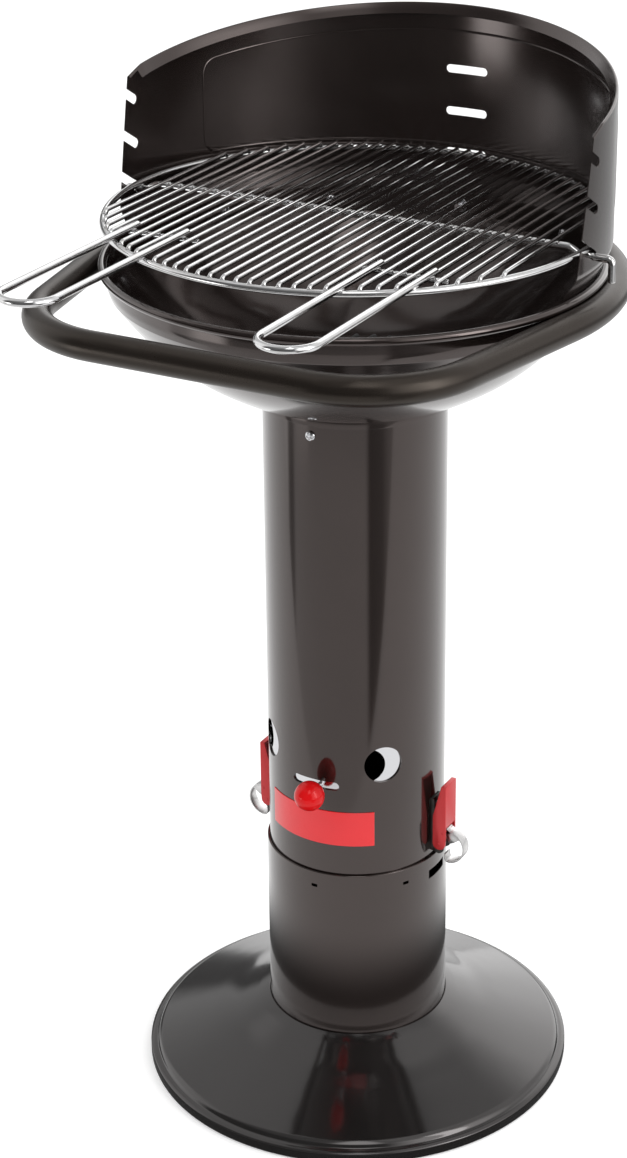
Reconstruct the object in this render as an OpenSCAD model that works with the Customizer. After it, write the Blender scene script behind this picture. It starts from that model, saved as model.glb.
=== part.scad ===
/* [Foot and base tube] */
// outer radius of the foot at its rolled hem
foot_r = 200.5; // [170:0.5:230]
// height of the foot's collar
foot_h = 62; // [54:1:90]
// outer radius of the lower tube
base_r = 84; // [75:0.5:95]
// height of the lower tube's mouth
base_top = 231; // [200:1:260]

/* [Pillar] */
// outer radius of the upper tube
pillar_r = 81.6; // [72:0.1:92]
// height of the upper tube's top edge
pillar_top = 673; // [600:1:740]
// diameter of the round air holes
eye_d = 35; // [25:1:45]
// height of the air holes' centres
eye_z = 343; // [320:1:380]
// height of the air slot's centre
slot_z = 321.5; // [310:0.5:330]
// half the angle of the air slot, ends included
slot_half = 16.6; // [8:0.1:24]
// angle of the knob from the front, toward +X
knob_angle = 4; // [-12:1:12]

/* [Bowl and rail] */
// outer radius of the bowl's band
band_r = 212.6; // [190:0.1:240]
// height of the rim's wire centre
rim_z = 793; // [760:0.5:820]
// radius of the rolled rim
rim_bead = 3.8; // [2:0.1:5]
// outer radius of the rail tube
rail_tube_r = 12.7; // [10:0.1:16]
// height of the rail's centreline
rail_z = 779.5; // [760:0.5:790]
// how far the rail's front bar stands from the axis
rail_front = 261; // [240:1:300]
// bend radius of the rail's front corners
rail_corner = 98; // [50:1:120]

/* [Windshield] */
// how far the windshield's wall stands outside the bowl's band
shield_step = 7.9; // [3:0.1:20]
// height of the lowest grid notch's end
notch_z = 826.2; // [815:0.1:840]
// distance between one notch and the next
notch_pitch = 39.5; // [30:0.5:50]
// top edge height over the axis
shield_top = 932.5; // [900:0.5:980]

/* [Cooking grid] */
// distance from the ring's centreline to the windshield's inner face
grid_clear = 5.6; // [4:0.1:20]
// number of rods
rod_count = 32; // [26:2:40]
// how far the handles reach in front of the axis
handle_reach = 344; // [280:1:380]

/* [Hidden] */

// shared values
fn_big = 180;
fn_small = 32;
gap = 0.3;
screw_fit = 0.1;
sheet = 1.1;
eps = 0.01;
lap = 0.2;
slim = 0.02;

// lower tube and its fittings
base_wall = 1.1;
base_in = base_r - base_wall;
base_bottom_z = 14;
lip_h = 3.5;
lip_in = pillar_r + 0.45;
lug_z = 219;
lug_count = 6;
lug_w = 6;
lug_t = 1.4;
lug_depth = 4.5;
hook_slot_z = 213;
hook_slot_h = 9;
hook_slot_half = 10;
foot_screw_z = 49;
foot_screw_r = 2.4;
foot_sheet = 1.4;
// the cone's top face: share of the way from tube to hem, and share of the collar's height
foot_curve = [[0.0858, 0.9258], [0.1717, 0.8452], [0.309, 0.7194], [0.4807, 0.5903], [0.6524, 0.4661],
    [0.8069, 0.3548], [0.8927, 0.2871]];
hem_top = foot_h * 0.2516;
hem_width = 8.00355;

// pillar and its fittings
pillar_wall = 1.2;
pillar_in = pillar_r - pillar_wall;
slot_h = 8.2;
plate_half = 39;
plate_z0 = 261.3;
plate_z1 = 295.8;
plate_t = 0.7;
bowl_screw_z = 658;
bowl_screw_r = 2.5;

// air band
band_t = 1;
air_out = pillar_in - gap;
air_z0 = 301;
air_z1 = 371;
air_hole_d = 33;
air_offset = -12;
stem_r = 2.5;
ball_r = 13.8;
ball_dist = 104.5;

// latches, drawn on the +X side
lever_x0 = 84.3;
lever_x1 = 97.3;
lever_half = 11;
lever_wall = 2.2;
lever_top = 306;
lever_skirt = 262.5;
pivot_x = 90.5;
pivot_z = 246;
pivot_r = 1.8;
pin_x = 94.6;
pin_z = 257.6;
pin_r = 1.4;
pin_fit = 0.06;
eye_r = 2.9;
ear_half = 7.6;
ear_t = 1.2;
bow_half = 5.5;
bow_t = 1.4;
bow_cx = 97.2;
bow_cz = 241.6;
bow_r = 16.4;
bow_lip = 84;
rivet_r = 1.7;
rivet_z = [262, 281];

// bowl
bowl_t = 1.1;
band_in = band_r - bowl_t;
band_low = 775;
neck_r = 84.9;
spigot_r = pillar_in - gap;
spigot_low = 641;
// the bowl's outer face: share of the way from neck to band, and height
bowl_curve = [[0.964, 768.8], [0.9131, 760], [0.8543, 750.5], [0.7878, 740.5], [0.7134, 730.3],
    [0.6272, 719.7], [0.5254, 709], [0.3845, 697], [0.2435, 687], [0.1182, 680], [0.0399, 676.3],
    [-0.0039, 674.6]];
bowl_outer = concat([[band_r, rim_z], [band_r, band_low]],
    [for (c = bowl_curve) [neck_r + c[0] * (band_r - neck_r), c[1]]]);

// windshield
shield_t = 0.9;
shield_r = band_r + shield_step;
shield_in = shield_r - shield_t;
skirt_out = band_in - 0.02;
skirt_z0 = 777;
flare_z0 = 798;
flare_z1 = 814;
top_slope = 0.165;
top_angle = atan(top_slope);
edge_slope = 0.195;
edge_angle = atan(edge_slope);
edge_y = -2;
edge_z = 928;
hem_h = 9;
hem_t = 5;
hem_start = 98;
corner_cut_y = 14;
corner_cut = 20;
notch_y = 3.5;
notch_r = 4.25;
notch_dir = 31;
slot_back_z = [831.5, 870, 909];
slot_back_half = 20.5;
slot_back_r = 5.3;
frame_half = 66;
frame_w = 3;
frame_t = 0.6;
frame_low = 839;
frame_drop = 25;
bolt_z = 784.6;
rail_bolt_z = 783;
bolt_r = 2.9;
rail_bolt_angles = [118, 146];

// rail
rail_wall = 1.6;
rail_r = band_r + rail_tube_r + 0.1;
rail_end = 64;
corner_x = 98;
corner_y = rail_corner - rail_front;
corner_d = sqrt(corner_x * corner_x + corner_y * corner_y);
side_angle = atan2(corner_y, corner_x) + acos((rail_r - rail_corner) / corner_d);

// cooking grid
grid_r = shield_in - grid_clear;
grid_back = 0.6;
ring_w = 3;
grid_y = grid_clear - ring_w - grid_back;
rod_spread = 0.9005;
rod_pitch = 2 * rod_spread * grid_r / rod_count;
ring_z = 831.5;
rod_w = 2.2;
weld = 0.3;
rod_z = ring_z + ring_w - weld + rod_w;
bar_w = 3.3;
bar_y = 3;
bar_z = rod_z - rod_w - bar_w + weld;
bar_low_z = ring_z - ring_w - bar_w + weld;
bar_step = 15.5;
bar_out = shield_r + 16;
bar_hook_z = 806;
handle_w = 3.3;
handle_z = ring_z + ring_w - weld + handle_w;
handle_rods = [7, 11];
handle_weld = 94;
handle_in = grid_y - grid_r + handle_weld;
short_y = handle_in - 11;
short_w = 2.5;
short_z = rod_z - rod_w - short_w + weld - 0.05;
elbow = 4.6;
rod_drop = 2.2;

// charcoal grate
coal_r = neck_r + 0.0869 * (band_r - neck_r);
coal_z = 683.05;
coal_w = 3;
coal_rod = 2.5;
coal_weld = 0.15;
coal_spread = 0.9111;
coal_rods = 13;
coal_pitch = 2 * coal_spread * coal_r / (coal_rods - 1);

function rod_x(k) = (k + 0.5 - rod_count / 2) * rod_pitch;
function rod_on_handle(k) = k == rod_count / 2 + handle_rods[0] || k == rod_count / 2 + handle_rods[1]
    || k == rod_count / 2 - 1 - handle_rods[0] || k == rod_count / 2 - 1 - handle_rods[1];
function unit(v) = v / sqrt(v[0] * v[0] + v[1] * v[1]);
function left_of(v) = [-v[1], v[0]];
// moves a profile line sideways by t, to make a sheet's other face
function side_line(p, t) = [for (i = [0 : len(p) - 1])
    let (a = unit(p[min(i + 1, len(p) - 1)] - p[max(i - 1, 0)])) p[i] + t * left_of(a)];
function reversed(p) = [for (i = [len(p) - 1 : -1 : 0]) p[i]];

module ring_band(r0, r1, z0, z1) {
    rotate_extrude($fn = fn_big)
        translate([r0, z0])
            square([r1 - r0, z1 - z0]);
}

// a curved strip about the axis, a0 to a1 in degrees from the front toward +X
module arc_strip(r0, r1, z0, z1, a0, a1) {
    rotate([0, 0, a0 - 90])
        rotate_extrude(angle = a1 - a0, $fn = fn_big)
            translate([r0, z0])
                square([r1 - r0, z1 - z0]);
}

// a cylinder that points outward from the axis at angle a from the front
module radial(a, z, r, from, to, sides = 32) {
    rotate([0, 0, a])
        translate([0, -from, z])
            rotate([90, 0, 0])
                cylinder(r = r, h = to - from, $fn = sides);
}

// a straight round bar in the XY plane from point a to point b, lapping into its bends
module bar_2d(a, b, r, hollow = 0) {
    d = b - a;
    translate([a[0], a[1], 0])
        rotate([0, 0, atan2(d[1], d[0])])
            translate([-lap, 0, 0])
                rotate([0, 90, 0])
                    linear_extrude(height = sqrt(d[0] * d[0] + d[1] * d[1]) + 2 * lap)
                        ring_face(r, hollow);
}

module ring_face(r, hollow) {
    difference() {
        circle(r = r, $fn = fn_small);
        if (hollow > 0) circle(r = hollow, $fn = fn_small);
    }
}

// a bend in the XY plane about centre c, from angle a0 through turn degrees,
// a hair slimmer than the bars that lap over its ends
module bend_2d(c, rb, a0, turn, r, hollow = 0) {
    translate([c[0], c[1], 0])
        rotate([0, 0, a0])
            rotate_extrude(angle = turn, $fn = fn_big)
                translate([rb, 0])
                    ring_face(r - slim, hollow > 0 ? hollow + slim : 0);
}

// foot: cone with a collar that grips the lower tube and a rolled hem at the floor
foot_line = concat([[base_r, 35], [base_r, foot_h - 2.6], [base_r + 0.8, foot_h - 0.8],
    [base_r + 2.4, foot_h], [base_r + 4.4, foot_h - 0.8]],
    [for (c = foot_curve) [base_r + c[0] * (foot_r - base_r), c[1] * foot_h]],
    [[foot_r - hem_width, hem_top]]);

module foot_section() {
    polygon(concat(foot_line, reversed(side_line(foot_line, -foot_sheet))));
    polygon([[foot_r - 8.1, hem_top + 0.1], [foot_r - 5.9, hem_top - 3.4], [foot_r - 3.1, hem_top - 3.8],
        [foot_r - 1, hem_top - 5], [foot_r, hem_top - 7.4], [foot_r, 2.2], [foot_r - 1, 0.6],
        [foot_r - 2.5, 0], [foot_r - 6, 0], [foot_r - 7.4, 1.4], [foot_r - 7.2, 3], [foot_r - 2.6, 3],
        [foot_r - 2.2, hem_top - 8.2], [foot_r - 4.1, hem_top - 5.9], [foot_r - 6.9, hem_top - 5],
        [foot_r - 8.9, hem_top - 1.3]]);
}

module foot_pan() {
    color([0.05, 0.05, 0.055])
        difference() {
            rotate_extrude($fn = fn_big)
                foot_section();
            for (k = [0 : 2])
                radial(30 + 120 * k, foot_screw_z, foot_screw_r + screw_fit, base_r - 3, base_r + 5);
        }
}

module base_shell() {
    rotate_extrude($fn = fn_big)
        polygon([[base_in, base_bottom_z - 2], [base_r, base_bottom_z - 2],
            [base_r, base_top - lip_h], [lip_in + 1, base_top], [lip_in, base_top],
            [lip_in, base_top - lip_h + 1.2], [base_in, base_top - lip_h - 0.6]]);
}

module base_tube() {
    color([0.05, 0.05, 0.055]) {
        difference() {
            base_shell();
            for (s = [-1, 1])
                rotate([0, 0, s * 90]) {
                    arc_strip(base_in - 3, base_r + 3, hook_slot_z - hook_slot_h / 2,
                        hook_slot_z + hook_slot_h / 2, -hook_slot_half, hook_slot_half);
                }
            for (k = [0 : lug_count - 1])
                rotate([0, 0, k * 60])
                    translate([-lug_w / 2, -base_r - 2, lug_z - lug_t - 2.6])
                        cube([lug_w, 6, 2.6]);
            for (k = [0 : 2])
                radial(30 + 120 * k, foot_screw_z, foot_screw_r + screw_fit, base_r - 3, base_r + 5);
        }
        for (k = [0 : lug_count - 1])
            rotate([0, 0, k * 60])
                translate([-lug_w / 2, -base_in - 0.5, lug_z - lug_t])
                    cube([lug_w, lug_depth + 0.5, lug_t]);
    }
}

module base_bottom() {
    color([0.05, 0.05, 0.055])
        rotate_extrude($fn = fn_big)
            polygon([[0, base_bottom_z + 3], [60, base_bottom_z + 3], [66, base_bottom_z],
                [base_in, base_bottom_z], [base_in, base_bottom_z + 10],
                [base_in - sheet, base_bottom_z + 10], [base_in - sheet, base_bottom_z + sheet],
                [66.4, base_bottom_z + sheet], [60.4, base_bottom_z + 3 + sheet],
                [0, base_bottom_z + 3 + sheet]]);
}

// dome head screw pointing inward, head seated at radius r_head
module dome_screw(a, z, r, r_head, r_tip, head) {
    radial(a, z, r, r_tip, r_head + eps);
    rotate([0, 0, a])
        translate([0, -r_head, z])
            rotate([90, 0, 0])
                rotate_extrude($fn = fn_small)
                    polygon([[0, 0], [head, 0], [head, 0.5], [head * 0.93, 1.4],
                        [head * 0.74, 2.3], [head * 0.45, 2.9], [0, 3.1]]);
}

module foot_screws() {
    color([0.7, 0.7, 0.72])
        for (k = [0 : 2])
            dome_screw(30 + 120 * k, foot_screw_z, foot_screw_r, base_r + foot_sheet,
                base_in - 6, 4.4);
}

module pillar_tube() {
    slot_end = slot_half - asin(slot_h / 2 / pillar_r);
    color([0.05, 0.05, 0.055]) {
        difference() {
            ring_band(pillar_in, pillar_r, lug_z, pillar_top);
            for (a = [45, 135, 225, 315])
                radial(a, eye_z, eye_d / 2, pillar_in - 12, pillar_r + 8, 64);
            arc_strip(pillar_in - 3, pillar_r + 3, slot_z - slot_h / 2, slot_z + slot_h / 2,
                -slot_end, slot_end);
            for (s = [-1, 1])
                radial(s * slot_end, slot_z, slot_h / 2, pillar_in - 8, pillar_r + 8);
            for (k = [0 : 2])
                radial(120 * k, bowl_screw_z, bowl_screw_r + screw_fit, pillar_in - 8, pillar_r + 8);
            for (s = [-90, 90], z = rivet_z)
                radial(s, z, rivet_r + screw_fit, pillar_in - 8, pillar_r + 8);
        }
        // rests under the air band
        for (k = [0 : 2])
            rotate([0, 0, 60 + 120 * k])
                translate([-4, -pillar_in - 0.5, air_z0 - gap - 1.5])
                    cube([8, 4.5, 1.5]);
    }
}

module front_plate() {
    color([0.72, 0.05, 0.06])
        arc_strip(pillar_r + 0.1, pillar_r + 0.1 + plate_t, plate_z0, plate_z1, -plate_half, plate_half);
}

module lever_bracket() {
    color([0.75, 0.75, 0.77])
        difference() {
            union() {
                intersection() {
                    arc_strip(pillar_r, pillar_r + 1.4, 235.5, 290, 84.5, 95.5);
                    translate([pillar_r - 8, -ear_half, 230])
                        cube([12, 2 * ear_half, 70]);
                }
                for (s = [-1, 1])
                    translate([0, s * (ear_half - ear_t / 2) - ear_t / 2, 0])
                        rotate([90, 0, 0])
                            mirror([0, 0, 1])
                                linear_extrude(height = ear_t)
                                    ear_outline();
            }
            for (z = rivet_z)
                radial(90, z, rivet_r + screw_fit, pillar_in - 8, pillar_r + 8);
            translate([pivot_x, -20, pivot_z])
                rotate([-90, 0, 0])
                    cylinder(r = pivot_r, h = 40, $fn = fn_small);
        }
}

module ear_outline() {
    polygon([[pillar_r + 0.2, 236], [89, 233.5], [93.4, 236.4], [94.6, 241], [94.6, 248],
        [92.6, 251.2], [86.5, 258], [84, 288], [pillar_r + 0.2, 289]]);
}

module latch_rivets() {
    color([0.78, 0.78, 0.8])
        for (s = [-90, 90], z = rivet_z)
            rotate([0, 0, s])
                translate([0, -pillar_in + 1.6, z])
                    rotate([90, 0, 0])
                        rotate_extrude($fn = fn_small)
                            polygon([[0, -1], [2.6, -0.4], [3, 1.5], [rivet_r, 1.5],
                                [rivet_r, 1.6 + pillar_wall + 1.4], [3, 1.6 + pillar_wall + 1.4],
                                [2.4, 2.4 + pillar_wall + 1.4], [0, 2.7 + pillar_wall + 1.4]]);
}

module lever_pivot() {
    color([0.8, 0.8, 0.82])
        translate([pivot_x, -lever_half - 0.6, pivot_z])
            rotate([-90, 0, 0])
                cylinder(r = pivot_r, h = 2 * lever_half + 1.2, $fn = fn_small);
}

// side view of one flange of the lever
module flange_outline() {
    difference() {
        union() {
            polygon([[lever_x0 + 8.4, lever_top], [lever_x1, lever_top], [lever_x1, pin_z - 6],
                [lever_x1 - 0.4, pivot_z], [lever_x0, pivot_z], [lever_x0, 274]]);
            translate([(lever_x0 + lever_x1 - 0.4) / 2, pivot_z])
                circle(r = (lever_x1 - 0.4 - lever_x0) / 2, $fn = 48);
        }
        translate([pivot_x, pivot_z])
            circle(r = pivot_r + pin_fit, $fn = fn_small);
        translate([pin_x, pin_z])
            circle(r = pin_r, $fn = fn_small);
    }
}

module lever_body() {
    color([0.75, 0.05, 0.07])
        difference() {
            union() {
                for (s = [-1, 1])
                    translate([0, s * (lever_half - lever_wall / 2) - lever_wall / 2, 0])
                        rotate([90, 0, 0])
                            mirror([0, 0, 1])
                                linear_extrude(height = lever_wall)
                                    flange_outline();
                translate([lever_x1 - lever_wall, -lever_half + eps, lever_skirt])
                    cube([lever_wall, 2 * lever_half - 2 * eps, lever_top - lever_skirt]);
                translate([lever_x0 + 8.4, -lever_half + eps, lever_top - lever_wall])
                    cube([lever_x1 - lever_x0 - 8.4, 2 * lever_half - 2 * eps, lever_wall]);
            }
        }
}

// side view of a cheek of the bow, its rim buried in the strip
module cheek_outline() {
    polygon(concat([for (a = [42 : 13 : 94]) [bow_cx, bow_cz] + (bow_r - bow_t / 2) * [cos(a), sin(a)]],
        [[pin_x - 1.4, pin_z - 1.2], [98.2, 245.2], [102.6, 246.8]]));
}

// bow: an eye on its pin, two cheeks, a curved strip and an inturned lip
module bow_body() {
    top_angle = atan2(pin_z + 0.4 - bow_cz, pin_x + 1 - bow_cx);
    color([0.8, 0.8, 0.82])
        difference() {
            union() {
                translate([pin_x, -bow_half, pin_z])
                    rotate([-90, 0, 0])
                        cylinder(r = eye_r, h = 2 * bow_half, $fn = fn_small);
                translate([bow_cx, bow_half - 0.1, bow_cz])
                    rotate([90, 0, 0])
                        rotate([0, 0, -bow_lip])
                            rotate_extrude(angle = top_angle + bow_lip, $fn = 96)
                                translate([bow_r - bow_t, 0])
                                    square([bow_t, 2 * bow_half - 0.2]);
                translate([bow_cx, -bow_half + 0.2, bow_cz])
                    rotate([0, bow_lip, 0])
                        translate([bow_r - 8.6, 0, -0.4])
                            cube([8.4, 2 * bow_half - 0.4, bow_t]);
                for (s = [-1, 1])
                    translate([0, s * (bow_half - 0.9) - 0.6, 0])
                        rotate([90, 0, 0])
                            mirror([0, 0, 1])
                                linear_extrude(height = 1.2)
                                    cheek_outline();
            }
            translate([pin_x, -20, pin_z])
                rotate([-90, 0, 0])
                    cylinder(r = pin_r + pin_fit, h = 40, $fn = fn_small);
        }
}

module bow_pin() {
    color([0.8, 0.8, 0.82])
        translate([pin_x, -lever_half - 0.5, pin_z])
            rotate([-90, 0, 0])
                cylinder(r = pin_r, h = 2 * lever_half + 1, $fn = fn_small);
}

// bowl sheet: band and rounded bottom
module bowl_sheet() {
    inner = side_line(bowl_outer, -bowl_t);
    straight = [for (i = [0 : len(inner) - 1]) i < 2 ? [band_in, bowl_outer[i][1]] : inner[i]];
    polygon(concat(bowl_outer, reversed(straight)));
}

// rolled rim, open toward the band underneath
module bowl_bead() {
    translate([band_in + 0.05 + rim_bead, rim_z])
        difference() {
            circle(r = rim_bead, $fn = 40);
            circle(r = rim_bead - bowl_t, $fn = 40);
            translate([1.5 - rim_bead, -rim_bead - 1])
                square([1, 4]);
        }
}

// skirt over the pillar's top, step that rests on it and spigot inside it
module bowl_neck() {
    polygon([[spigot_r - 1, spigot_low], [spigot_r, spigot_low], [spigot_r, pillar_top],
        [neck_r - 1, pillar_top], [neck_r - 1, pillar_top - 5], [neck_r, pillar_top - 5],
        [neck_r, 675.4], [neck_r - 1.5, 675.6], [spigot_r - 1, 675.6]]);
}

module bowl() {
    color([0.05, 0.05, 0.055])
        difference() {
            union() {
                rotate_extrude($fn = fn_big)
                    bowl_sheet();
                rotate_extrude($fn = fn_big)
                    bowl_bead();
                rotate_extrude($fn = fn_big)
                    bowl_neck();
            }
            for (k = [0 : 2])
                radial(120 * k, bowl_screw_z, bowl_screw_r + screw_fit, pillar_in - 8, pillar_in);
            for (s = [-1, 1], a = rail_bolt_angles)
                radial(s * a, rail_bolt_z, bolt_r + screw_fit, band_in - 6, band_r + 3);
            radial(180, bolt_z, bolt_r + screw_fit, band_in - 6, band_r + 3);
        }
}

module bowl_screws() {
    color([0.85, 0.85, 0.86])
        for (k = [0 : 2])
            dome_screw(120 * k, bowl_screw_z, bowl_screw_r, pillar_r, spigot_r - 7, 4.6);
}

module bowl_nuts() {
    color([0.75, 0.75, 0.77])
        for (k = [0 : 2])
            difference() {
                radial(120 * k, bowl_screw_z, 4.6, spigot_r - 1 - 3.6, spigot_r - 1 - 0.25, 6);
                radial(120 * k, bowl_screw_z, bowl_screw_r, spigot_r - 12, spigot_r + 2);
            }
}

// solid block whose lower face is the plane z = level + slope * y
module above_plane(level, angle) {
    translate([0, 0, level])
        rotate([angle, 0, 0])
            translate([-400, -500, 0])
                cube([800, 1000, 300]);
}

module shield_section() {
    polygon([[skirt_out - shield_t, skirt_z0], [skirt_out, skirt_z0], [skirt_out, flare_z0],
        [shield_r, flare_z1], [shield_r, 985], [shield_in, 985], [shield_in, flare_z1 + 0.2],
        [skirt_out - shield_t, flare_z0 + 0.2]]);
}

// everything in front of the windshield's slanting edges
module front_cut() {
    translate([0, edge_y, edge_z])
        rotate([-edge_angle, 0, 0])
            translate([-400, -600, -400])
                cube([800, 600, 700]);
}

module notches() {
    for (k = [0 : 2])
        translate([-300, notch_y, notch_z + k * notch_pitch])
            rotate([-notch_dir, 0, 0]) {
                rotate([0, 90, 0])
                    cylinder(r = notch_r, h = 600, $fn = fn_small);
                translate([0, -60, -notch_r])
                    cube([600, 60, 2 * notch_r]);
            }
}

module back_slots() {
    for (z = slot_back_z)
        translate([0, 200, z])
            rotate([-90, 0, 0]) {
                for (s = [-1, 1])
                    translate([s * (slot_back_half - slot_back_r), 0, 0])
                        cylinder(r = slot_back_r, h = 40, $fn = fn_small);
                translate([-slot_back_half + slot_back_r, -slot_back_r, 0])
                    cube([2 * (slot_back_half - slot_back_r), 2 * slot_back_r, 40]);
            }
}

// part of a curved strip that lies under the sloping plane at the given level
module strip_under(r0, r1, z0, a0, a1, level) {
    difference() {
        arc_strip(r0, r1, z0, 990, a0, a1);
        above_plane(level, top_angle);
    }
}

// raised line pressed in the sheet's inner face, following the top edge
module pressed_frame() {
    r0 = shield_in - frame_t;
    difference() {
        strip_under(r0, shield_in + 0.3, frame_low, 180 - frame_half, 180 + frame_half,
            shield_top - frame_drop);
        strip_under(r0 - 1, shield_in + 1, frame_low + frame_w, 180.8 - frame_half,
            179.2 + frame_half, shield_top - frame_drop - frame_w);
    }
}

module windshield() {
    hem_in = shield_r - hem_t;
    color([0.05, 0.05, 0.055])
        difference() {
            union() {
                rotate([0, 0, -12])
                    rotate_extrude(angle = 204, $fn = fn_big)
                        shield_section();
                arc_strip(hem_in, shield_in + 0.3, 915, 985, hem_start, 360 - hem_start);
                pressed_frame();
            }
            strip_under(hem_in + shield_t, shield_in + 0.05, 890, hem_start - 1, 361 - hem_start,
                shield_top - shield_t);
            strip_under(hem_in - 1, hem_in + 2 * shield_t, 890, hem_start - 1, 361 - hem_start,
                shield_top - hem_h);
            above_plane(shield_top, top_angle);
            front_cut();
            notches();
            back_slots();
            for (s = [-1, 1], a = rail_bolt_angles)
                radial(s * a, rail_bolt_z, bolt_r + screw_fit, band_in - 6, band_r + 3);
            radial(180, bolt_z, bolt_r + screw_fit, band_in - 6, band_r + 3);
            translate([0, corner_cut_y, shield_top + corner_cut_y * top_slope])
                rotate([corner_cut, 0, 0])
                    translate([-400, -150, 0])
                        cube([800, 300, 200]);
        }
}

// bolts through windshield and bowl: four into the rail, one at the back
module rim_bolts() {
    color([0.8, 0.8, 0.82]) {
        for (s = [-1, 1], a = rail_bolt_angles) {
            radial(s * a, rail_bolt_z, bolt_r, skirt_out - shield_t - 1, band_r + 5);
            rotate([0, 0, s * a])
                translate([0, -(skirt_out - shield_t), rail_bolt_z])
                    rotate([-90, 0, 0])
                        rotate_extrude($fn = fn_small)
                            polygon([[0, 0.1], [5.2, 0.1], [5, 1.2], [3.6, 2.6], [1.6, 3.3], [0, 3.4]]);
        }
        radial(180, bolt_z, bolt_r, skirt_out - 9, band_r + 1);
        rotate([0, 0, 180])
            translate([0, -band_r, bolt_z])
                rotate([90, 0, 0])
                    rotate_extrude($fn = fn_small)
                        polygon([[0, 0], [4.4, 0], [4.2, 1.1], [3.2, 2.2], [1.5, 2.9], [0, 3]]);
    }
}

module rim_nut() {
    color([0.8, 0.8, 0.82])
        difference() {
            union() {
                radial(180, bolt_z, 5.2, skirt_out - shield_t - 5, skirt_out - shield_t - 1.2, 6);
                radial(180, bolt_z, 6.5, skirt_out - shield_t - 1.2 - eps, skirt_out - shield_t - 0.15);
            }
            radial(180, bolt_z, bolt_r, skirt_out - 14, skirt_out + 2);
        }
}

// rail path: arcs beside the bowl, slanting sides, corners and the front bar
module rail_path(r, hollow) {
    a = [rail_r * cos(side_angle), rail_r * sin(side_angle)];
    b = [corner_x + rail_corner * cos(side_angle), corner_y + rail_corner * sin(side_angle)];
    bend_2d([0, 0], rail_r, side_angle, rail_end - side_angle, r, hollow);
    bar_2d(b, a, r, hollow);
    bend_2d([corner_x, corner_y], rail_corner, -90, side_angle + 90, r, hollow);
    bar_2d([-corner_x, -rail_front], [corner_x, -rail_front], r, hollow);
    bend_2d([-corner_x, corner_y], rail_corner, 180 - side_angle, side_angle + 90, r, hollow);
    bar_2d([-a[0], a[1]], [-b[0], b[1]], r, hollow);
    bend_2d([0, 0], rail_r, 180 - rail_end, rail_end - side_angle, r, hollow);
}

module rail_tube() {
    color([0.07, 0.07, 0.072])
        difference() {
            translate([0, 0, rail_z])
                rail_path(rail_tube_r, rail_tube_r - rail_wall);
            for (s = [-1, 1], a = rail_bolt_angles)
                radial(s * a, rail_bolt_z, bolt_r + screw_fit, band_in - 6, band_r + 6);
        }
}

module rail_caps() {
    color([0.1, 0.1, 0.1])
        for (s = [0, 1])
            mirror([s, 0, 0])
                rotate([0, 0, rail_end])
                    translate([rail_r, 0, rail_z])
                        rotate([-90, 0, 0]) {
                            cylinder(r = rail_tube_r, h = 2.2, $fn = fn_small);
                            translate([0, 0, -8])
                                cylinder(r = rail_tube_r - rail_wall - gap, h = 8.5, $fn = fn_small);
                        }
}

// bright ring inside the pillar whose holes open and close the pillar's holes
module air_band() {
    color([0.85, 0.85, 0.86])
        difference() {
            ring_band(air_out - band_t, air_out, air_z0, air_z1);
            for (a = [45, 135, 225, 315])
                radial(a + air_offset, eye_z, air_hole_d / 2, air_out - 14, air_out + 8, 64);
            radial(knob_angle, slot_z, stem_r, air_out - 8, air_out + 8);
        }
}

module knob_stem() {
    color([0.85, 0.85, 0.86]) {
        radial(knob_angle, slot_z, stem_r, air_out - band_t - 3, ball_dist - ball_r + 5);
        radial(knob_angle, slot_z, 5, air_out - band_t - 3.4, air_out - band_t - 0.3, 6);
    }
}

module ball_knob() {
    color([0.8, 0.05, 0.07])
        difference() {
            rotate([0, 0, knob_angle])
                translate([0, -ball_dist, slot_z])
                    sphere(r = ball_r, $fn = 64);
            radial(knob_angle, slot_z, stem_r, ball_dist - ball_r - 4, ball_dist - ball_r + 5);
        }
}

module grid_ring() {
    color([0.85, 0.86, 0.88])
        translate([0, grid_y, ring_z])
            rotate_extrude($fn = 160)
                translate([grid_r, 0])
                    circle(r = ring_w, $fn = fn_small);
}

// a rod drawn in the plane of its two bent ends, x the way along it
module rod_shape(y0, y1, plain_start) {
    if (!plain_start) {
        bar_2d([y0 - elbow, -elbow - rod_drop], [y0 - elbow, -elbow], rod_w);
        bend_2d([y0, -elbow], elbow, 90, 90, rod_w);
    }
    bar_2d([y0, 0], [y1, 0], rod_w);
    bend_2d([y1, -elbow], elbow, 0, 90, rod_w);
    bar_2d([y1 + elbow, -elbow - rod_drop], [y1 + elbow, -elbow], rod_w);
}

module grid_rods() {
    inner = grid_r - ring_w - rod_w + weld;
    color([0.85, 0.86, 0.88])
        for (k = [0 : rod_count - 1]) {
            x = rod_x(k);
            span = sqrt(inner * inner - x * x);
            y1 = grid_y + span - elbow;
            y0 = rod_on_handle(k) ? handle_in + lap : grid_y - span + elbow;
            translate([x, 0, rod_z])
                rotate([90, 0, 90])
                    rod_shape(y0, y1, rod_on_handle(k));
        }
}

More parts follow.
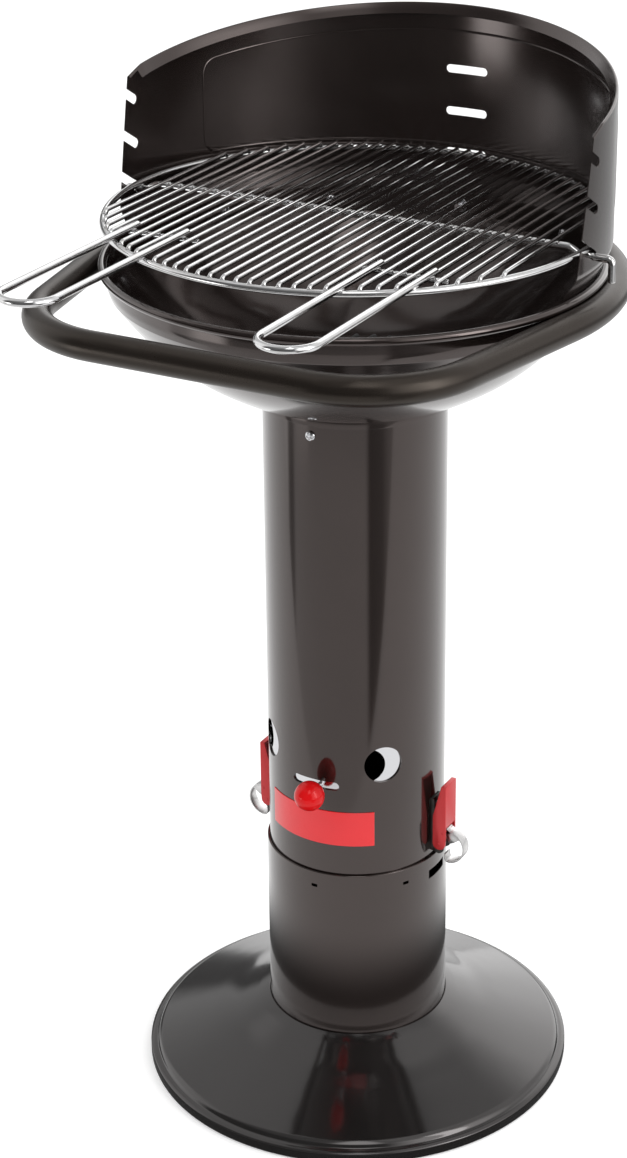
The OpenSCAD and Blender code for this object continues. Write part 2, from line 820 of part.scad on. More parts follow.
// one side of the crossbar's bent ends, s = 1 right, -1 left
module crossbar_end(s) {
    x1 = grid_r - bar_step;
    x2 = x1 + 10;
    d = [x2 - x1, bar_low_z - bar_z];
    fall = -atan2(d[1], d[0]);
    rb = 7;
    t = rb * tan(fall / 2);
    u = unit(d);
    hb = 7;
    bend_2d([s * (x1 - t), bar_z - rb], rb, s > 0 ? 90 - fall : 90, fall, bar_w);
    bar_2d([s * (x1 + t * u[0]), bar_z + t * u[1]], [s * (x2 - t * u[0]), bar_low_z - t * u[1]], bar_w);
    bend_2d([s * (x2 + t), bar_low_z + rb], rb, s > 0 ? 270 - fall : 270, fall, bar_w);
    bar_2d([s * (x2 + t), bar_low_z], [s * (bar_out - hb), bar_low_z], bar_w);
    bend_2d([s * (bar_out - hb), bar_low_z - hb], hb, s > 0 ? 0 : 90, 90, bar_w);
    bar_2d([s * bar_out, bar_hook_z], [s * bar_out, bar_low_z - hb], bar_w);
}

module grid_crossbar() {
    x0 = grid_r - bar_step - 7 * tan(atan2(bar_z - bar_low_z, 10) / 2);
    color([0.85, 0.86, 0.88])
        translate([0, bar_y, 0])
            rotate([90, 0, 0]) {
                bar_2d([-x0, bar_z], [x0, bar_z], bar_w);
                crossbar_end(1);
                crossbar_end(-1);
            }
}

module grid_short_bars() {
    mid = (rod_x(rod_count / 2 + handle_rods[0]) + rod_x(rod_count / 2 + handle_rods[1])) / 2;
    half = (handle_rods[1] - handle_rods[0]) * rod_pitch / 2 + 14;
    color([0.85, 0.86, 0.88])
        for (s = [-1, 1])
            translate([s * mid - half, short_y, short_z])
                rotate([0, 90, 0])
                    cylinder(r = short_w, h = 2 * half, $fn = 24);
}

module grid_handle(side) {
    xa = rod_x(rod_count / 2 + handle_rods[0]);
    xb = rod_x(rod_count / 2 + handle_rods[1]);
    rb = (xb - xa) / 2;
    yc = -handle_reach + handle_w + rb;
    color([0.85, 0.86, 0.88])
        translate([0, 0, handle_z])
            mirror([side < 0 ? 1 : 0, 0, 0]) {
                bar_2d([xa, yc], [xa, handle_in], handle_w);
                bar_2d([xb, yc], [xb, handle_in], handle_w);
                bend_2d([xa + rb, yc], rb, 180, 180, handle_w);
            }
}

module charcoal_ring() {
    color([0.3, 0.3, 0.31])
        translate([0, 0, coal_z])
            rotate_extrude($fn = fn_big)
                translate([coal_r, 0])
                    circle(r = coal_w, $fn = 24);
}

module charcoal_rods() {
    color([0.3, 0.3, 0.31])
        for (k = [0 : coal_rods - 1]) {
            x = (k - (coal_rods - 1) / 2) * coal_pitch;
            half = sqrt(pow(coal_r + 1, 2) - x * x);
            translate([x, -half, coal_z + coal_w + coal_rod - coal_weld])
                rotate([-90, 0, 0])
                    cylinder(r = coal_rod, h = 2 * half, $fn = 20);
        }
}

module left_side() {
    mirror([1, 0, 0])
        children();
}

foot_pan();
base_tube();
base_bottom();
foot_screws();
pillar_tube();
front_plate();
lever_bracket();  // latch_bracket_right
left_side() lever_bracket();  // latch_bracket_left
latch_rivets();
lever_pivot();  // lever_pivot_right
left_side() lever_pivot();  // lever_pivot_left
bowl();
bowl_screws();
bowl_nuts();
windshield();
rim_bolts();
rim_nut();
rail_tube();
rail_caps();
air_band();
knob_stem();
ball_knob();
lever_body();  // latch_lever_right
left_side() lever_body();  // latch_lever_left
bow_body();  // latch_bow_right
left_side() bow_body();  // latch_bow_left
bow_pin();  // bow_pin_right
left_side() bow_pin();  // bow_pin_left
grid_ring();
grid_rods();
grid_crossbar();
grid_short_bars();
grid_handle(1);  // grid_handle_right
grid_handle(-1);  // grid_handle_left
charcoal_ring();
charcoal_rods();
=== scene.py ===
"""Looks of a charcoal grill on a pillar foot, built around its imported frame.

Every shape is worked out in millimetres in the part's own frame: Z up the pillar, -Y to the
front, X to the right. Angles round the axis are counted from the front toward +X.
"""

import logging
import math
from dataclasses import dataclass, field, replace
from enum import Enum
from typing import Protocol, Sequence

import bpy
import numpy as np
from mathutils import Matrix

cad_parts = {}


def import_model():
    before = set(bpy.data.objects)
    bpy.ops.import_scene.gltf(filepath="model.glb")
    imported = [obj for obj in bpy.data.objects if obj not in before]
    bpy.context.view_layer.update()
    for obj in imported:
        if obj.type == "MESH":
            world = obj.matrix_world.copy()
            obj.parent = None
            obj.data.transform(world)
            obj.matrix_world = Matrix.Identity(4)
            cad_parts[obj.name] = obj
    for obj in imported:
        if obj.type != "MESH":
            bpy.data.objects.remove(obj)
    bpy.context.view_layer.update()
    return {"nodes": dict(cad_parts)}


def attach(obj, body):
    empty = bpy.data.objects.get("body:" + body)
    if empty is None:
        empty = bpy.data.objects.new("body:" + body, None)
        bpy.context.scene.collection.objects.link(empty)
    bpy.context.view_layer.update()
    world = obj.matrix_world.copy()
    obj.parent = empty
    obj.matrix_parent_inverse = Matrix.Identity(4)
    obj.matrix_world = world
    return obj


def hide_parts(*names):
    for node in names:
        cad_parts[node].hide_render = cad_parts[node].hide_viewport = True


MM = 0.001
# Steps round a revolved piece, and round the largest ones
AROUND = 256
FINE_AROUND = 320
# Where the air holes of the pillar lie, in degrees from the front
AIR_HOLES = (45.0, 135.0, 225.0, 315.0)
UP = np.array([0.0, 0.0, 1.0])
log = logging.getLogger("grill")
Array = np.ndarray
Points = tuple[tuple[float, float], ...]
Node = bpy.types.Node
Socket = bpy.types.NodeSocket
Tree = bpy.types.NodeTree


class Body(Enum):
    """The bodies of the frame that new pieces ride on."""

    BASE = "base"
    COLUMN = "column"
    AIR_RING = "air_ring"
    LEVER_RIGHT = "lever_right"
    LEVER_LEFT = "lever_left"
    BOW_RIGHT = "bow_right"
    BOW_LEFT = "bow_left"
    COOKING_GRID = "cooking_grid"


class Side(Enum):
    """Which side of the pillar a latch or handle is on."""

    RIGHT = 1
    LEFT = -1


# Shape functions


def smooth_line(points: Array, count: int) -> Array:
    """Passes a smooth curve through points.

    A cubic runs between each two neighbours. The slope at a point is the central difference
    over its two neighbours, weighted by their distances.

    Args:
        points: the (n, k) points the curve goes through.
        count: how many points the curve is sampled at.

    Returns:
        The (count, k) points, at evenly spaced values of the distance along the chords.
    """
    p = np.asarray(points, float)
    step = np.linalg.norm(np.diff(p, axis=0), axis=1)
    t = np.concatenate([[0.0], np.cumsum(step)])
    slope = np.gradient(p, t, axis=0)
    s = np.linspace(0.0, t[-1], count)
    i = np.clip(np.searchsorted(t, s, side="right") - 1, 0, len(step) - 1)
    h = step[i][:, None]
    u = ((s - t[i]) / step[i])[:, None]
    return (
        (2 * u**3 - 3 * u**2 + 1) * p[i]
        + (u**3 - 2 * u**2 + u) * h * slope[i]
        + (3 * u**2 - 2 * u**3) * p[i + 1]
        + (u**3 - u**2) * h * slope[i + 1]
    )


def arc(centre: tuple[float, float], radius: float, start: float, end: float, count: int) -> Array:
    """Points centre + radius (cos a, sin a) of a circle's arc, a from start to end degrees."""
    a = np.radians(np.linspace(start, end, count))
    return np.stack([centre[0] + radius * np.cos(a), centre[1] + radius * np.sin(a)], axis=-1)


def fillet(points: Array, radius: float, steps: int = 4, closed: bool = True) -> Array:
    """Rounds a polygon's corners.

    Each corner is replaced by a quadratic curve from a point radius before it to a point radius
    after it, with the corner as its control point, and never past a third of an edge.

    Args:
        points: the (n, k) corners in order.
        radius: how far from the corner the rounding starts.
        steps: how many pieces each rounding has.
        closed: whether the last corner joins the first; if not, both ends stay as they are.

    Returns:
        The rounded line's points.
    """
    p = np.asarray(points, float)
    before = np.roll(p, 1, axis=0) - p
    after = np.roll(p, -1, axis=0) - p
    lb = np.linalg.norm(before, axis=1, keepdims=True)
    la = np.linalg.norm(after, axis=1, keepdims=True)
    cut = np.minimum(radius, np.minimum(lb, la) / 3)
    a = (p + before / lb * cut)[:, None, :]
    b = (p + after / la * cut)[:, None, :]
    u = np.linspace(0, 1, steps + 1)[None, :, None]
    curve = (1 - u) ** 2 * a + 2 * u * (1 - u) * p[:, None, :] + u**2 * b
    if closed:
        return curve.reshape(-1, p.shape[1])
    return np.concatenate([p[:1], curve[1:-1].reshape(-1, p.shape[1]), p[-1:]])


def rectangle(
    across: tuple[float, float], along: tuple[float, float], corner: float = 0.0, steps: int = 4
) -> Array:
    """Outline of a rectangle.

    Args:
        across: least and greatest first coordinate.
        along: least and greatest second coordinate.
        corner: how far from each corner its rounding starts, 0 for sharp corners.
        steps: how many pieces each rounding has.

    Returns:
        The outline's points, in order from the corner where both are least.
    """
    (left, right), (low, high) = across, along
    outline = np.array([[left, low], [right, low], [right, high], [left, high]], float)
    return fillet(outline, corner, steps) if corner > 0 else outline


def shifted(line: Array, distance: float) -> Array:
    """Moves a 2-D line sideways, square to its slope at each point.

    Args:
        line: the (n, 2) points.
        distance: how far it moves to its left.

    Returns:
        The moved points.
    """
    d = np.gradient(np.asarray(line, float), axis=0)
    d /= np.linalg.norm(d, axis=1, keepdims=True)
    return line + distance * np.stack([-d[:, 1], d[:, 0]], axis=-1)


def sheet_section(line: Array, thickness: float) -> Array:
    """Closed section of a bent sheet: the line shifted half the thickness to either side."""
    return np.concatenate([shifted(line, thickness / 2), shifted(line, -thickness / 2)[::-1]])


def on_cylinder(line: Array, radius: float, measured: float) -> Array:
    """Lays a line of (distance round, height) on a cylinder about the axis.

    A point at distance d goes to the angle d / measured, counted from the front toward +X.

    Args:
        line: the (n, 2) points.
        radius: of the cylinder.
        measured: radius of the circle that the distances are measured on.

    Returns:
        The (n, 3) points.
    """
    angle = line[:, 0] / measured
    return np.stack([radius * np.sin(angle), -radius * np.cos(angle), line[:, 1]], axis=-1)


def grid_faces(rows: int, columns: int, wrap_rows: bool, wrap_columns: bool) -> Array:
    """Quads between neighbouring points of a grid, numbered row by row.

    Args:
        rows: how many rows the grid has.
        columns: how many points a row has.
        wrap_rows: whether the last row joins the first.
        wrap_columns: whether a row's last point joins its first.

    Returns:
        The (n, 4) point numbers.
    """
    r = np.arange(rows if wrap_rows else rows - 1)[:, None]
    c = np.arange(columns if wrap_columns else columns - 1)[None, :]
    r2, c2 = (r + 1) % rows, (c + 1) % columns
    quads = [r * columns + c, r2 * columns + c, r2 * columns + c2, r * columns + c2]
    return np.stack([np.broadcast_to(q, (r.size, c.size)) for q in quads], axis=-1).reshape(-1, 4)


@dataclass
class Shell:
    """A closed surface: points in millimetres and faces as lists of point numbers."""

    points: Array
    faces: list[list[int]]

    def outward(self) -> "Shell":
        """Turns the faces so that the volume, summed over fans of triangles, is positive.

        Returns:
            The same shell.
        """
        p = self.points - self.points.mean(axis=0)
        volume = 0.0
        for size in {len(f) for f in self.faces}:
            f = np.array([face for face in self.faces if len(face) == size])
            for k in range(1, size - 1):
                volume += np.einsum("ij,ij->i", p[f[:, 0]], np.cross(p[f[:, k]], p[f[:, k + 1]])).sum()
        if volume < 0:
            self.faces = [face[::-1] for face in self.faces]
        return self

    def moved(self, x: float = 0.0, y: float = 0.0, z: float = 0.0) -> "Shell":
        """The shell shifted by x, y, z."""
        return Shell(self.points + np.array([x, y, z]), self.faces)

    def mirrored(self) -> "Shell":
        """The shell mirrored left to right."""
        return Shell(self.points * np.array([-1.0, 1.0, 1.0]), [f[::-1] for f in self.faces])

    def turned(self, angle: float) -> "Shell":
        """Turns the shell about the axis.

        Args:
            angle: degrees from the front toward +X.

        Returns:
            The turned shell.
        """
        a = math.radians(angle)
        c, s = math.cos(a), math.sin(a)
        turn = np.array([[c, -s, 0.0], [s, c, 0.0], [0.0, 0.0, 1.0]])
        return Shell(self.points @ turn.T, self.faces)

    def to_radial(self, angle: float, distance: float, height: float) -> "Shell":
        """A shell modelled about +Z is laid to point outward from the pillar's axis.

        Args:
            angle: degrees from the front toward +X.
            distance: where the shell's z = 0 goes, from the axis.
            height: height of its centreline.

        Returns:
            The placed shell.
        """
        x, y, z = self.points.T
        return Shell(np.stack([x, -(distance + z), height + y], axis=-1), self.faces).turned(angle)


def merged(shells: list[Shell]) -> Shell:
    """Puts several shells into one.

    Args:
        shells: the shells, each of which keeps its own points.

    Returns:
        The one shell.
    """
    faces: list[list[int]] = []
    start = 0
    for shell in shells:
        faces += [[i + start for i in face] for face in shell.faces]
        start += len(shell.points)
    return Shell(np.concatenate([s.points for s in shells]), faces)


def revolved(section: Array, segments: int = AROUND, start: float = 0.0, turn: float = 360.0) -> Shell:
    """Turns a closed section of (radius, height) about the axis.

    A point at angle a from the front is (r sin a, -r cos a, z).

    Args:
        section: the closed section's points.
        segments: steps round.
        start: first angle in degrees.
        turn: how far it goes round; less than 360 closes both ends with the section's own face.

    Returns:
        The surface, outward.
    """
    full = turn >= 360.0
    a = np.radians(np.linspace(start, start + turn, segments, endpoint=not full))[:, None]
    r, z = np.asarray(section, float).T
    grid = np.stack([r * np.sin(a), -r * np.cos(a), np.broadcast_to(z, (len(a), len(z)))], axis=-1)
    faces = grid_faces(len(a), len(r), full, True).tolist()
    if not full:
        n = len(r)
        faces += [list(range(n)), list(range(n * (len(a) - 1), n * len(a)))[::-1]]
    return Shell(grid.reshape(-1, 3), faces).outward()


def lathe(section: Array, segments: int = 48) -> Shell:
    """Turns a solid from an open line that starts and ends on the axis.

    A point of the line at angle a is (r cos a, r sin a, z).

    Args:
        section: the line's (radius, height) points.
        segments: steps round.

    Returns:
        The surface, outward, with one point at each pole.
    """
    line = np.asarray(section, float)
    a = np.radians(np.linspace(0, 360, segments, endpoint=False))[:, None]
    r, z = line[1:-1].T
    grid = np.stack([r * np.cos(a), r * np.sin(a), np.broadcast_to(z, (segments, len(z)))], axis=-1)
    points = np.concatenate([grid.reshape(-1, 3), [[0, 0, line[0, 1]], [0, 0, line[-1, 1]]]])
    n, k = len(r), segments * len(r)
    faces = grid_faces(segments, n, True, False).tolist()
    ring = np.arange(segments)
    after = (ring + 1) % segments
    faces += np.stack([ring * n, np.full(segments, k), after * n], axis=-1).tolist()
    faces += np.stack([after * n + n - 1, np.full(segments, k + 1), ring * n + n - 1], axis=-1).tolist()
    return Shell(points, faces).outward()


def swept(path: Array, radius: float | Array, sides: int, across: Array, closed: bool = False) -> Shell:
    """A round bar along a path.

    At each point the ring is: path + radius (cos a N + sin a B), where N is across made square to
    the path's direction T, and B = T x N. Open ends are closed with a slightly smaller end ring
    and a centre point, and a further ring behind it keeps the bar's shading straight.

    Args:
        path: the (n, 3) centreline.
        radius: one radius, or one for each point.
        sides: points round the bar.
        across: one direction, or one for each point, that isn't along the path.
        closed: whether the path joins its own start.

    Returns:
        The bar's surface, outward.
    """
    p = np.asarray(path, float)
    if closed:
        t = np.roll(p, -1, axis=0) - np.roll(p, 1, axis=0)
    else:
        t = np.gradient(p, axis=0)
    t /= np.linalg.norm(t, axis=1, keepdims=True)
    n = np.broadcast_to(np.asarray(across, float), p.shape)
    n = n - np.sum(n * t, axis=1, keepdims=True) * t
    n = n / np.linalg.norm(n, axis=1, keepdims=True)
    b = np.cross(t, n)
    size = np.broadcast_to(np.asarray(radius, float), (len(p),)).copy()
    if not closed:
        trim = 0.12 * size[0]
        steps = trim * np.array([[0.0], [1.0], [2.5]])
        p = np.concatenate([p[:1] + steps * t[:1], p[1:-1], p[-1:] - steps[::-1] * t[-1:]])
        size, n, b = (np.concatenate([v[[0, 0]], v, v[[-1, -1]]]) for v in (size, n, b))
        size[[0, -1]] -= trim
    a = np.radians(np.linspace(0, 360, sides, endpoint=False))
    spoke = np.cos(a)[None, :, None] * n[:, None, :] + np.sin(a)[None, :, None] * b[:, None, :]
    grid = p[:, None, :] + size[:, None, None] * spoke
    points = grid.reshape(-1, 3)
    faces = grid_faces(len(p), sides, closed, True).tolist()
    if not closed:
        last = len(points)
        points = np.concatenate([points, p[:1], p[-1:]])
        ring = np.arange(sides)
        after = (ring + 1) % sides
        top = (len(p) - 1) * sides
        faces += np.stack([ring, after, np.full(sides, last)], axis=-1).tolist()
        faces += np.stack([after + top, ring + top, np.full(sides, last + 1)], axis=-1).tolist()
    return Shell(points, faces).outward()


def drill(radius: float, segments: int, half: float = 14.0) -> Shell:
    """A round cutter about +Z from -half to half."""
    return lathe(np.array([[0, -half], [radius, -half], [radius, half], [0, half]]), segments)


def between(ends: list[Array]) -> Shell:
    """Joins two closed rings of as many points to a solid.

    Args:
        ends: the two rings' (n, 3) points.

    Returns:
        The solid, closed by the rings' own faces.
    """
    n = len(ends[0])
    faces = grid_faces(2, n, False, True).tolist()
    faces += [list(range(n)), list(range(n, 2 * n))[::-1]]
    return Shell(np.concatenate(ends), faces).outward()


def extruded(outline: Array, low: float, high: float) -> Shell:
    """An outline of (x, z) points carried along Y from low to high."""
    x, z = np.asarray(outline, float).T
    return between([np.stack([x, np.full(len(x), y), z], axis=-1) for y in (low, high)])


def threaded(radius: float, depth: float, pitch: float, z: Array) -> Array:
    """Line along a thread whose radius is radius - depth + depth cos(2 pi z / pitch).

    Args:
        radius: at the crests.
        depth: half of how deep the thread is.
        pitch: from crest to crest.
        z: heights along the thread, from one end to the other.

    Returns:
        The (radius, height) points, with a point on the axis at either end.
    """
    crest = radius - depth + depth * np.cos(2 * math.pi * z / pitch)
    return np.concatenate([[[0, z[0]]], np.stack([crest, z], axis=-1), [[0, z[-1]]]])


# Blender objects


def mesh_object(name: str, shell: Shell, sharp: float = 32.0) -> bpy.types.Object:
    """Makes a Blender mesh from a shell.

    Args:
        name: the object's name.
        shell: its surface, in millimetres.
        sharp: edges that bend more than this many degrees stay sharp.

    Returns:
        The object, at the origin, with smooth shading between its sharp edges.
    """
    mesh = bpy.data.meshes.new(name)
    mesh.from_pydata((shell.points * MM).tolist(), [], shell.faces)
    mesh.update()
    mesh.shade_smooth()
    mesh.set_sharp_from_angle(angle=math.radians(sharp))
    obj = bpy.data.objects.new(name, mesh)
    bpy.context.scene.collection.objects.link(obj)
    return obj


def apply_modifiers(obj: bpy.types.Object, sharp: float = 32.0) -> None:
    """Puts the result of an object's modifiers into its mesh and takes the modifiers off.

    Args:
        obj: the object.
        sharp: edges that bend more than this many degrees stay sharp.
    """
    graph = bpy.context.evaluated_depsgraph_get()
    mesh = bpy.data.meshes.new_from_object(obj.evaluated_get(graph))
    obj.modifiers.clear()
    old = obj.data
    obj.data = mesh
    bpy.data.meshes.remove(old)
    mesh.name = obj.name
    mesh.shade_smooth()
    mesh.set_sharp_from_angle(angle=math.radians(sharp))


def cut(obj: bpy.types.Object, cutters: list[Shell]) -> None:
    """Takes closed shells away from an object.

    Args:
        obj: the object.
        cutters: what is taken away.
    """
    tool = mesh_object("cutter", merged(cutters))
    change = obj.modifiers.new("cut", "BOOLEAN")
    change.operation = "DIFFERENCE"
    change.solver = "EXACT"
    change.use_self = True
    change.object = tool
    apply_modifiers(obj)
    mesh = tool.data
    bpy.data.objects.remove(tool)
    bpy.data.meshes.remove(mesh)


def rounded(obj: bpy.types.Object, width: float, segments: int, angle: float) -> None:
    """Rounds an object's sharp edges by a bevel.

    Args:
        obj: the object.
        width: of the bevel, in millimetres.
        segments: how many pieces the bevel has.
        angle: edges that bend more than this many degrees are rounded.
    """
    change = obj.modifiers.new("round", "BEVEL")
    change.width = width * MM
    change.segments = segments
    change.limit_method = "ANGLE"
    change.angle_limit = math.radians(angle)
    change.harden_normals = False
    apply_modifiers(obj, 40.0)


def true_walls(obj: bpy.types.Object) -> None:
    """Gives upright round walls the shading of a true cylinder.

    Where a face stands upright and looks straight away from or toward the axis, its corners'
    normals become the horizontal direction from the axis through each corner.

    Args:
        obj: the object, with its place in its mesh.
    """
    straight, level = 0.99, 0.02
    mesh = obj.data
    loops = len(mesh.loops)
    at = np.empty(loops, np.int32)
    mesh.loops.foreach_get("vertex_index", at)
    place = np.empty(len(mesh.vertices) * 3)
    mesh.vertices.foreach_get("co", place)
    place = place.reshape(-1, 3)[at]
    count = np.empty(len(mesh.polygons), np.int32)
    mesh.polygons.foreach_get("loop_total", count)
    face = np.empty(len(mesh.polygons) * 3)
    mesh.polygons.foreach_get("normal", face)
    face = np.repeat(face.reshape(-1, 3), count, axis=0)
    corner = np.empty(loops * 3)
    mesh.corner_normals.foreach_get("vector", corner)
    corner = corner.reshape(-1, 3)
    out = place * np.array([1.0, 1.0, 0.0])
    out /= np.maximum(np.linalg.norm(out, axis=1, keepdims=True), 1e-9)
    facing = np.sum(face * out, axis=1)
    upright = (np.abs(facing) > straight) & (np.abs(face[:, 2]) < level)
    normal = np.where(upright[:, None], np.sign(facing)[:, None] * out, corner)
    mesh.normals_split_custom_set(normal.tolist())


# Nodes


def worked(tree: Tree, operation: str, *values: float | Socket) -> Socket:
    """Adds a math node.

    Args:
        tree: the nodes it is added to.
        operation: its operation.
        values: numbers and sockets, in the order of its inputs.

    Returns:
        Its result.
    """
    node = tree.nodes.new("ShaderNodeMath")
    node.operation = operation
    for slot, value in zip(node.inputs, values):
        if isinstance(value, Socket):
            tree.links.new(value, slot)
        else:
            slot.default_value = value
    return node.outputs["Value"]


def smooth_step(tree: Tree, value: Socket, low: float, high: float) -> Socket:
    """Adds a smooth rise from 0 to 1.

    Args:
        tree: the nodes it is added to.
        value: what it rises with.
        low: up to this value it is 0.
        high: from this value on it is 1.

    Returns:
        Its result.
    """
    node = tree.nodes.new("ShaderNodeMapRange")
    node.interpolation_type = "SMOOTHSTEP"
    node.inputs["From Min"].default_value = low
    node.inputs["From Max"].default_value = high
    tree.links.new(value, node.inputs["Value"])
    return node.outputs["Result"]


def mixed(tree: Tree, share: Socket, low: float | Socket, high: float | Socket) -> Socket:
    """Adds a mix of two values.

    Args:
        tree: the nodes it is added to.
        share: how much of the second value is in it.
        low: the value where share is 0.
        high: the value where share is 1.

    Returns:
        Its result.
    """
    node = tree.nodes.new("ShaderNodeMix")
    tree.links.new(share, node.inputs["Factor"])
    for slot, value in (("A", low), ("B", high)):
        if isinstance(value, Socket):
            tree.links.new(value, node.inputs[slot])
        else:
            node.inputs[slot].default_value = value
    return node.outputs["Result"]


# Finishes


class Coat(Enum):
    """How the finished surface is covered."""

    NONE = 0.0
    ENAMEL = 1.0


@dataclass(frozen=True)
class Finish:
    """A surface finish, worked into a node material on Object coordinates.

    Colours are linear. The base colour varies between base and shade with a slow noise, the
    roughness by rough_spread with a finer one, and the surface has two scales of bump: a wave
    (orange peel, drawn wire, plating) and a grain (pits and dust). Flecks of fleck_colour show
    by the share fleck where the finer noise is high. Scales are in waves a metre.
    """

    name: str
    slot: str
    base: tuple[float, float, float]
    shade: tuple[float, float, float]
    roughness: float
    metal: float = 0.0
    coat: Coat = Coat.NONE
    coat_roughness: float = 0.04
    ior: float = 1.5
    tint: tuple[float, float, float] = (1.0, 1.0, 1.0)
    rough_spread: float = 0.06
    slow: float = 18.0
    wave: float = 260.0
    wave_height: float = 0.00002
    grain: float = 1500.0
    grain_height: float = 0.000004
    fleck: float = 0.0
    fleck_colour: tuple[float, float, float] = (0.35, 0.33, 0.32)
    fleck_range: tuple[float, float] = (0.66, 0.74)
    noise_range: tuple[float, float] = (0.3, 0.7)
    noise_roughness: float = 0.55

    def material(self) -> bpy.types.Material:
        """The finish's material, made once and then shared.

        Returns:
            The Blender material.
        """
        known = bpy.data.materials.get(self.name)
        if known:
            return known
        made = bpy.data.materials.new(self.name)
        made.use_nodes = True
        made.diffuse_color = (*self.base, 1.0)
        tree = made.node_tree
        tree.nodes.clear()
        out = tree.nodes.new("ShaderNodeOutputMaterial")
        shader = tree.nodes.new("ShaderNodeBsdfPrincipled")
        tree.links.new(shader.outputs["BSDF"], out.inputs["Surface"])
        shader.inputs["Metallic"].default_value = self.metal
        shader.inputs["IOR"].default_value = self.ior
        shader.inputs["Specular Tint"].default_value = (*self.tint, 1.0)
        shader.inputs["Coat Weight"].default_value = self.coat.value
        shader.inputs["Coat Roughness"].default_value = self.coat_roughness
        where = tree.nodes.new("ShaderNodeTexCoord").outputs["Object"]
        slow = self.noise(tree, where, self.slow, 3.0)
        fine = self.noise(tree, where, self.grain, 2.0)
        self.colour(tree, shader, slow, fine)
        self.rough(tree, shader, slow, fine)
        self.relief(tree, shader, where, fine)
        return made

    def noise(self, tree: Tree, where: Socket, scale: float, detail: float) -> Socket:
        """Adds a noise texture.

        Args:
            tree: the material's nodes.
            where: the coordinates it reads.
            scale: waves a metre.
            detail: how many finer layers it has.

        Returns:
            Its factor.
        """
        node = tree.nodes.new("ShaderNodeTexNoise")
        node.inputs["Scale"].default_value = scale
        node.inputs["Detail"].default_value = detail
        node.inputs["Roughness"].default_value = self.noise_roughness
        tree.links.new(where, node.inputs["Vector"])
        return node.outputs["Fac"]

    def spread(self, tree: Tree, value: Socket, low: float, high: float) -> Socket:
        """Takes a noise value from its usual middle range to another range.

        Args:
            tree: the material's nodes.
            value: the noise's factor.
            low: least value of the new range.
            high: greatest value of the new range.

        Returns:
            The value in the new range.
        """
        node = tree.nodes.new("ShaderNodeMapRange")
        node.inputs["From Min"].default_value, node.inputs["From Max"].default_value = self.noise_range
        node.inputs["To Min"].default_value = low
        node.inputs["To Max"].default_value = high
        tree.links.new(value, node.inputs["Value"])
        return node.outputs["Result"]

    def colour(self, tree: Tree, shader: Node, slow: Socket, fine: Socket) -> None:
        """Mixes base and shade by the slow noise, and lightens flecks by the fine one.

        Args:
            tree: the material's nodes.
            shader: the shader whose colour is set.
            slow: factor of the slow noise.
            fine: factor of the fine noise.
        """
        mix = tree.nodes.new("ShaderNodeMix")
        mix.data_type = "RGBA"
        mix.inputs["A"].default_value = (*self.base, 1.0)
        mix.inputs["B"].default_value = (*self.shade, 1.0)
        tree.links.new(self.spread(tree, slow, 0.0, 1.0), mix.inputs["Factor"])
        if self.fleck <= 0.0:
            tree.links.new(mix.outputs["Result"], shader.inputs["Base Color"])
            return
        ramp = tree.nodes.new("ShaderNodeMapRange")
        ramp.inputs["From Min"].default_value, ramp.inputs["From Max"].default_value = self.fleck_range
        ramp.inputs["To Max"].default_value = self.fleck
        tree.links.new(fine, ramp.inputs["Value"])
        light = tree.nodes.new("ShaderNodeMix")
        light.data_type = "RGBA"
        light.inputs["B"].default_value = (*self.fleck_colour, 1.0)
        tree.links.new(ramp.outputs["Result"], light.inputs["Factor"])
        tree.links.new(mix.outputs["Result"], light.inputs["A"])
        tree.links.new(light.outputs["Result"], shader.inputs["Base Color"])

    def rough(self, tree: Tree, shader: Node, slow: Socket, fine: Socket) -> None:
        """Varies the roughness about its mean, by the sum of the slow and the fine noise.

        Args:
            tree: the material's nodes.
            shader: the shader whose roughness is set.
            slow: factor of the slow noise.
            fine: factor of the fine noise.
        """
        half = self.rough_spread / 2
        total = worked(
            tree, "ADD", self.spread(tree, slow, -half, half),
            self.spread(tree, fine, self.roughness - half, self.roughness + half),
        )
        tree.links.new(total, shader.inputs["Roughness"])

    def relief(self, tree: Tree, shader: Node, where: Socket, fine: Socket) -> None:
        """Adds bump from the wave and the grain, one after the other; a coat has the wave alone.

        Args:
            tree: the material's nodes.
            shader: the shader that gets the bump.
            where: the coordinates of the wave.
            fine: factor of the fine noise.
        """
        wave = self.noise(tree, where, self.wave, 1.0)
        first = tree.nodes.new("ShaderNodeBump")
        first.inputs["Distance"].default_value = self.wave_height
        tree.links.new(wave, first.inputs["Height"])
        second = tree.nodes.new("ShaderNodeBump")
        second.inputs["Distance"].default_value = self.grain_height
        tree.links.new(fine, second.inputs["Height"])
        tree.links.new(first.outputs["Normal"], second.inputs["Normal"])
        tree.links.new(second.outputs["Normal"], shader.inputs["Normal"])
        if self.coat is not Coat.NONE:
            tree.links.new(first.outputs["Normal"], shader.inputs["Coat Normal"])


